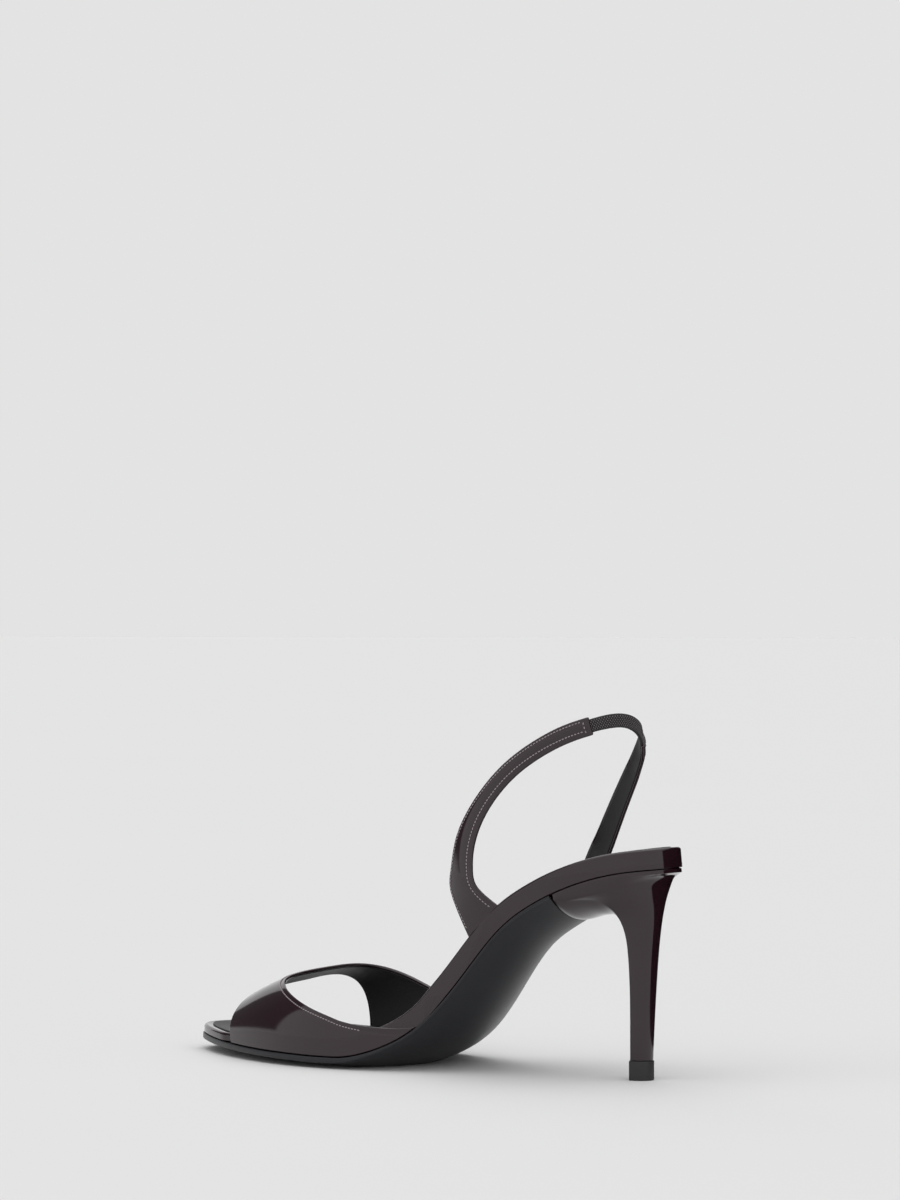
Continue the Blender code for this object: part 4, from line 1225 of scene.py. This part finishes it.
class SANDAL_OT_heel(bpy.types.Operator):
    """Heel block wrapped in patent leather, from the seat's lip to the slim stem"""

    bl_idname = "sandal.heel"
    bl_label = "Heel"

    def execute(self, context):
        _, colours = scene_settings(context)
        seat = [heel_seat_loop(HEEL_TUCK_INSET, HEEL_TUCK, 0.0)]
        seat += [heel_seat_loop(inset, -GAP - fall, 0.0)
                 for fall, inset in quarter(HEEL_ROUND, 4, True)]
        knots = [heel_seat_loop(0.0, -GAP - LIP_EDGE, 1.0)]
        knots += [heel_section(*row) for row in HEEL_SECTIONS]
        points, faces = loft(soften(np.concatenate([seat, heel_body(np.array(knots))])))
        build("heel_wrap", points, faces, finish("oxblood_patent_leather", colours),
              ["heel"])
        return {"FINISHED"}


class SANDAL_OT_top_lift(bpy.types.Operator):
    """Rubber top piece under the heel's tip"""

    bl_idname = "sandal.top_lift"
    bl_label = "Top piece"

    def execute(self, context):
        _, colours = scene_settings(context)
        points, faces = loft(lift_loops())
        build("rubber_top_piece", points, faces, finish("moulded_rubber", colours),
              ["top_lift"])
        return {"FINISHED"}


def aim_camera():
    """Camera at the picture's viewing angle, level and unshifted.

    With t the aim pixel's place on the film in units of the focal length and s the sine of the
    elevation, the camera's pitch e solves sin(e) + t_y cos(e) = -|t| s and its azimuth turns by
    atan(t_x / (cos(e) - t_y sin(e))).
    """
    film = CAMERA_LENS / SENSOR * PICTURE[1]
    t_x = (AIM_PIXEL[0] - PICTURE[0] / 2) / film
    t_y = -(AIM_PIXEL[1] - PICTURE[1] / 2) / film
    size = math.sqrt(t_x ** 2 + t_y ** 2 + 1)
    azimuth = math.radians(CAMERA_AZIMUTH)
    elevation = math.radians(CAMERA_ELEVATION)
    level = math.cos(elevation)
    back = np.array([math.sin(azimuth) * level, -math.cos(azimuth) * level, math.sin(elevation)])
    pitch = math.asin(-size * math.sin(elevation) / math.sqrt(1 + t_y ** 2)) - math.atan(t_y)
    swing = math.atan2(t_x, math.cos(pitch) - t_y * math.sin(pitch))
    data = bpy.data.cameras.new("picture_camera")
    data.sensor_fit = "VERTICAL"
    data.sensor_height = SENSOR
    data.sensor_width = SENSOR
    data.lens = CAMERA_LENS
    camera = bpy.data.objects.new("picture_camera", data)
    camera.location = np.array(AIM) + CAMERA_DISTANCE * back
    camera.rotation_euler = (math.pi / 2 + pitch, 0.0, azimuth + swing)
    bpy.context.scene.collection.objects.link(camera)
    bpy.context.scene.camera = camera


def soft_box(tree, view, under, azimuth, elevation, half_width, half_height, edge, brightness):
    """Sky brightness with a soft-edged rectangle laid over it, as seen along the view direction.

    With f, r and u the rectangle's forward, right and up directions, x = v.r / v.f and
    y = v.u / v.f, the mask is a smooth step of each half size less |x| or |y|.
    """
    a, e = math.radians(azimuth), math.radians(elevation)
    forward = (math.sin(a) * math.cos(e), -math.cos(a) * math.cos(e), math.sin(e))
    right = (math.cos(a), math.sin(a), 0.0)
    up = tuple(np.cross(right, forward))
    dots = [node(tree, "ShaderNodeVectorMath", {"operation": "DOT_PRODUCT"},
                 {0: view, 1: axis}).outputs["Value"] for axis in (forward, right, up)]
    ahead = node(tree, "ShaderNodeMath", {"operation": "MAXIMUM"},
                 {0: dots[0], 1: LEAST_AHEAD}).outputs[0]
    mask = 1.0
    for dot, half in ((dots[1], half_width), (dots[2], half_height)):
        share = node(tree, "ShaderNodeMath", {"operation": "DIVIDE"}, {0: dot, 1: ahead}).outputs[0]
        size = node(tree, "ShaderNodeMath", {"operation": "ABSOLUTE"}, {0: share}).outputs[0]
        inside = node(tree, "ShaderNodeMapRange", {"interpolation_type": "SMOOTHSTEP"},
                      {"Value": size, "From Min": half - edge, "From Max": half + edge,
                       "To Min": 1.0, "To Max": 0.0}).outputs["Result"]
        mask = node(tree, "ShaderNodeMath", {"operation": "MULTIPLY"},
                    {0: inside, 1: mask}).outputs[0]
    return node(tree, "ShaderNodeMix", {"data_type": "FLOAT"},
                {"Factor": mask, "A": under, "B": brightness}).outputs["Result"]


def stage_piece(name, corners, material, tones, roughness, size):
    """A flat four-cornered piece of the stage, clouded between two tones, duller if rougher."""
    mesh = bpy.data.meshes.new(name)
    mesh.from_pydata(corners, [], [(0, 1, 2, 3)])
    made, tree, shader, place = new_finish(material, {"Roughness": roughness,
                                                      "Specular IOR Level": 1 - roughness})
    cloud = node(tree, "ShaderNodeTexNoise", inputs={
        "Vector": place, "Scale": 1 / size, "Detail": 2.0}).outputs["Fac"]
    tone = node(tree, "ShaderNodeMix", {"data_type": "RGBA"},
                {"Factor": cloud, "A": tones[0], "B": tones[1]})
    tree.links.new(tone.outputs["Result"], shader.inputs["Base Color"])
    mesh.materials.append(made)
    piece = bpy.data.objects.new(name, mesh)
    bpy.context.scene.collection.objects.link(piece)
    return piece


def studio_world():
    """White room with soft dark and bright areas; the camera itself sees plain paper."""
    world = bpy.data.worlds.new("studio")
    bpy.context.scene.world = world
    world.use_nodes = True
    tree = world.node_tree
    tree.nodes.clear()
    view = node(tree, "ShaderNodeTexCoord").outputs["Generated"]
    total = SKY
    for row in HANGINGS:
        total = soft_box(tree, view, total, *row)
    seen = node(tree, "ShaderNodeLightPath").outputs["Is Camera Ray"]
    picked = node(tree, "ShaderNodeMix", {"data_type": "FLOAT"},
                  {"Factor": seen, "A": total, "B": linear(PAPER)[0]}).outputs["Result"]
    sky = node(tree, "ShaderNodeBackground",
               inputs={"Color": (1.0, 1.0, 1.0, 1.0), "Strength": picked})
    node(tree, "ShaderNodeOutputWorld", inputs={"Surface": sky.outputs["Background"]})


class SANDAL_OT_stage(bpy.types.Operator):
    """Pale floor, white room, black card and the camera"""

    bl_idname = "sandal.stage"
    bl_label = "Stage"

    def execute(self, context):
        r = FLOOR_REACH
        stage_piece("studio_floor", [(-r, -r, 0), (r, -r, 0), (r, r, 0), (-r, r, 0)],
                    "paper_floor", shades(linear(PAPER), PAPER_TONE), 0.9, PAPER_CLOUD)
        low, high = FLAG
        flag = stage_piece("black_flag", [low, (*high[:2], 0), high, (*low[:2], high[2])],
                           "black_felt", (linear("0A0A0A"), linear("121212")), 1.0, FELT_PILE)
        flag.visible_camera = False
        flag.visible_diffuse = False
        flag.visible_shadow = False
        studio_world()
        context.scene.view_settings.view_transform = "Standard"
        aim_camera()
        return {"FINISHED"}


class SANDAL_PT_panel(bpy.types.Panel):
    """Sizes, colours and pieces of the sandal"""

    bl_label = "Sandal"
    bl_idname = "SANDAL_PT_panel"
    bl_space_type = "VIEW_3D"
    bl_region_type = "UI"
    bl_category = "Sandal"

    def draw(self, context):
        for group in scene_settings(context):
            for name in group.__annotations__:
                self.layout.prop(group, name)
        for piece in PIECES:
            self.layout.operator(piece.bl_idname)


PIECES = (SANDAL_OT_outsole, SANDAL_OT_footbed, SANDAL_OT_vamp, SANDAL_OT_sling, SANDAL_OT_elastic,
          SANDAL_OT_heel, SANDAL_OT_top_lift, SANDAL_OT_stage)
GROUPS = (SandalSizes, SandalColours)


def register():
    """Register the classes and keep the sizes and colours on the scene."""
    for made in (*GROUPS, *PIECES, SANDAL_PT_panel):
        bpy.utils.register_class(made)
    bpy.types.Scene.sandal_sizes = bpy.props.PointerProperty(type=SandalSizes)
    bpy.types.Scene.sandal_colours = bpy.props.PointerProperty(type=SandalColours)


def unregister():
    """Take the classes and the scene's settings away again."""
    del bpy.types.Scene.sandal_sizes
    del bpy.types.Scene.sandal_colours
    for made in reversed((*GROUPS, *PIECES, SANDAL_PT_panel)):
        bpy.utils.unregister_class(made)


def main():
    register()
    set_offset()
    for piece in PIECES:
        group, name = piece.bl_idname.split(".")
        getattr(getattr(bpy.ops, group), name)()


if __name__ == "__main__":
    main()
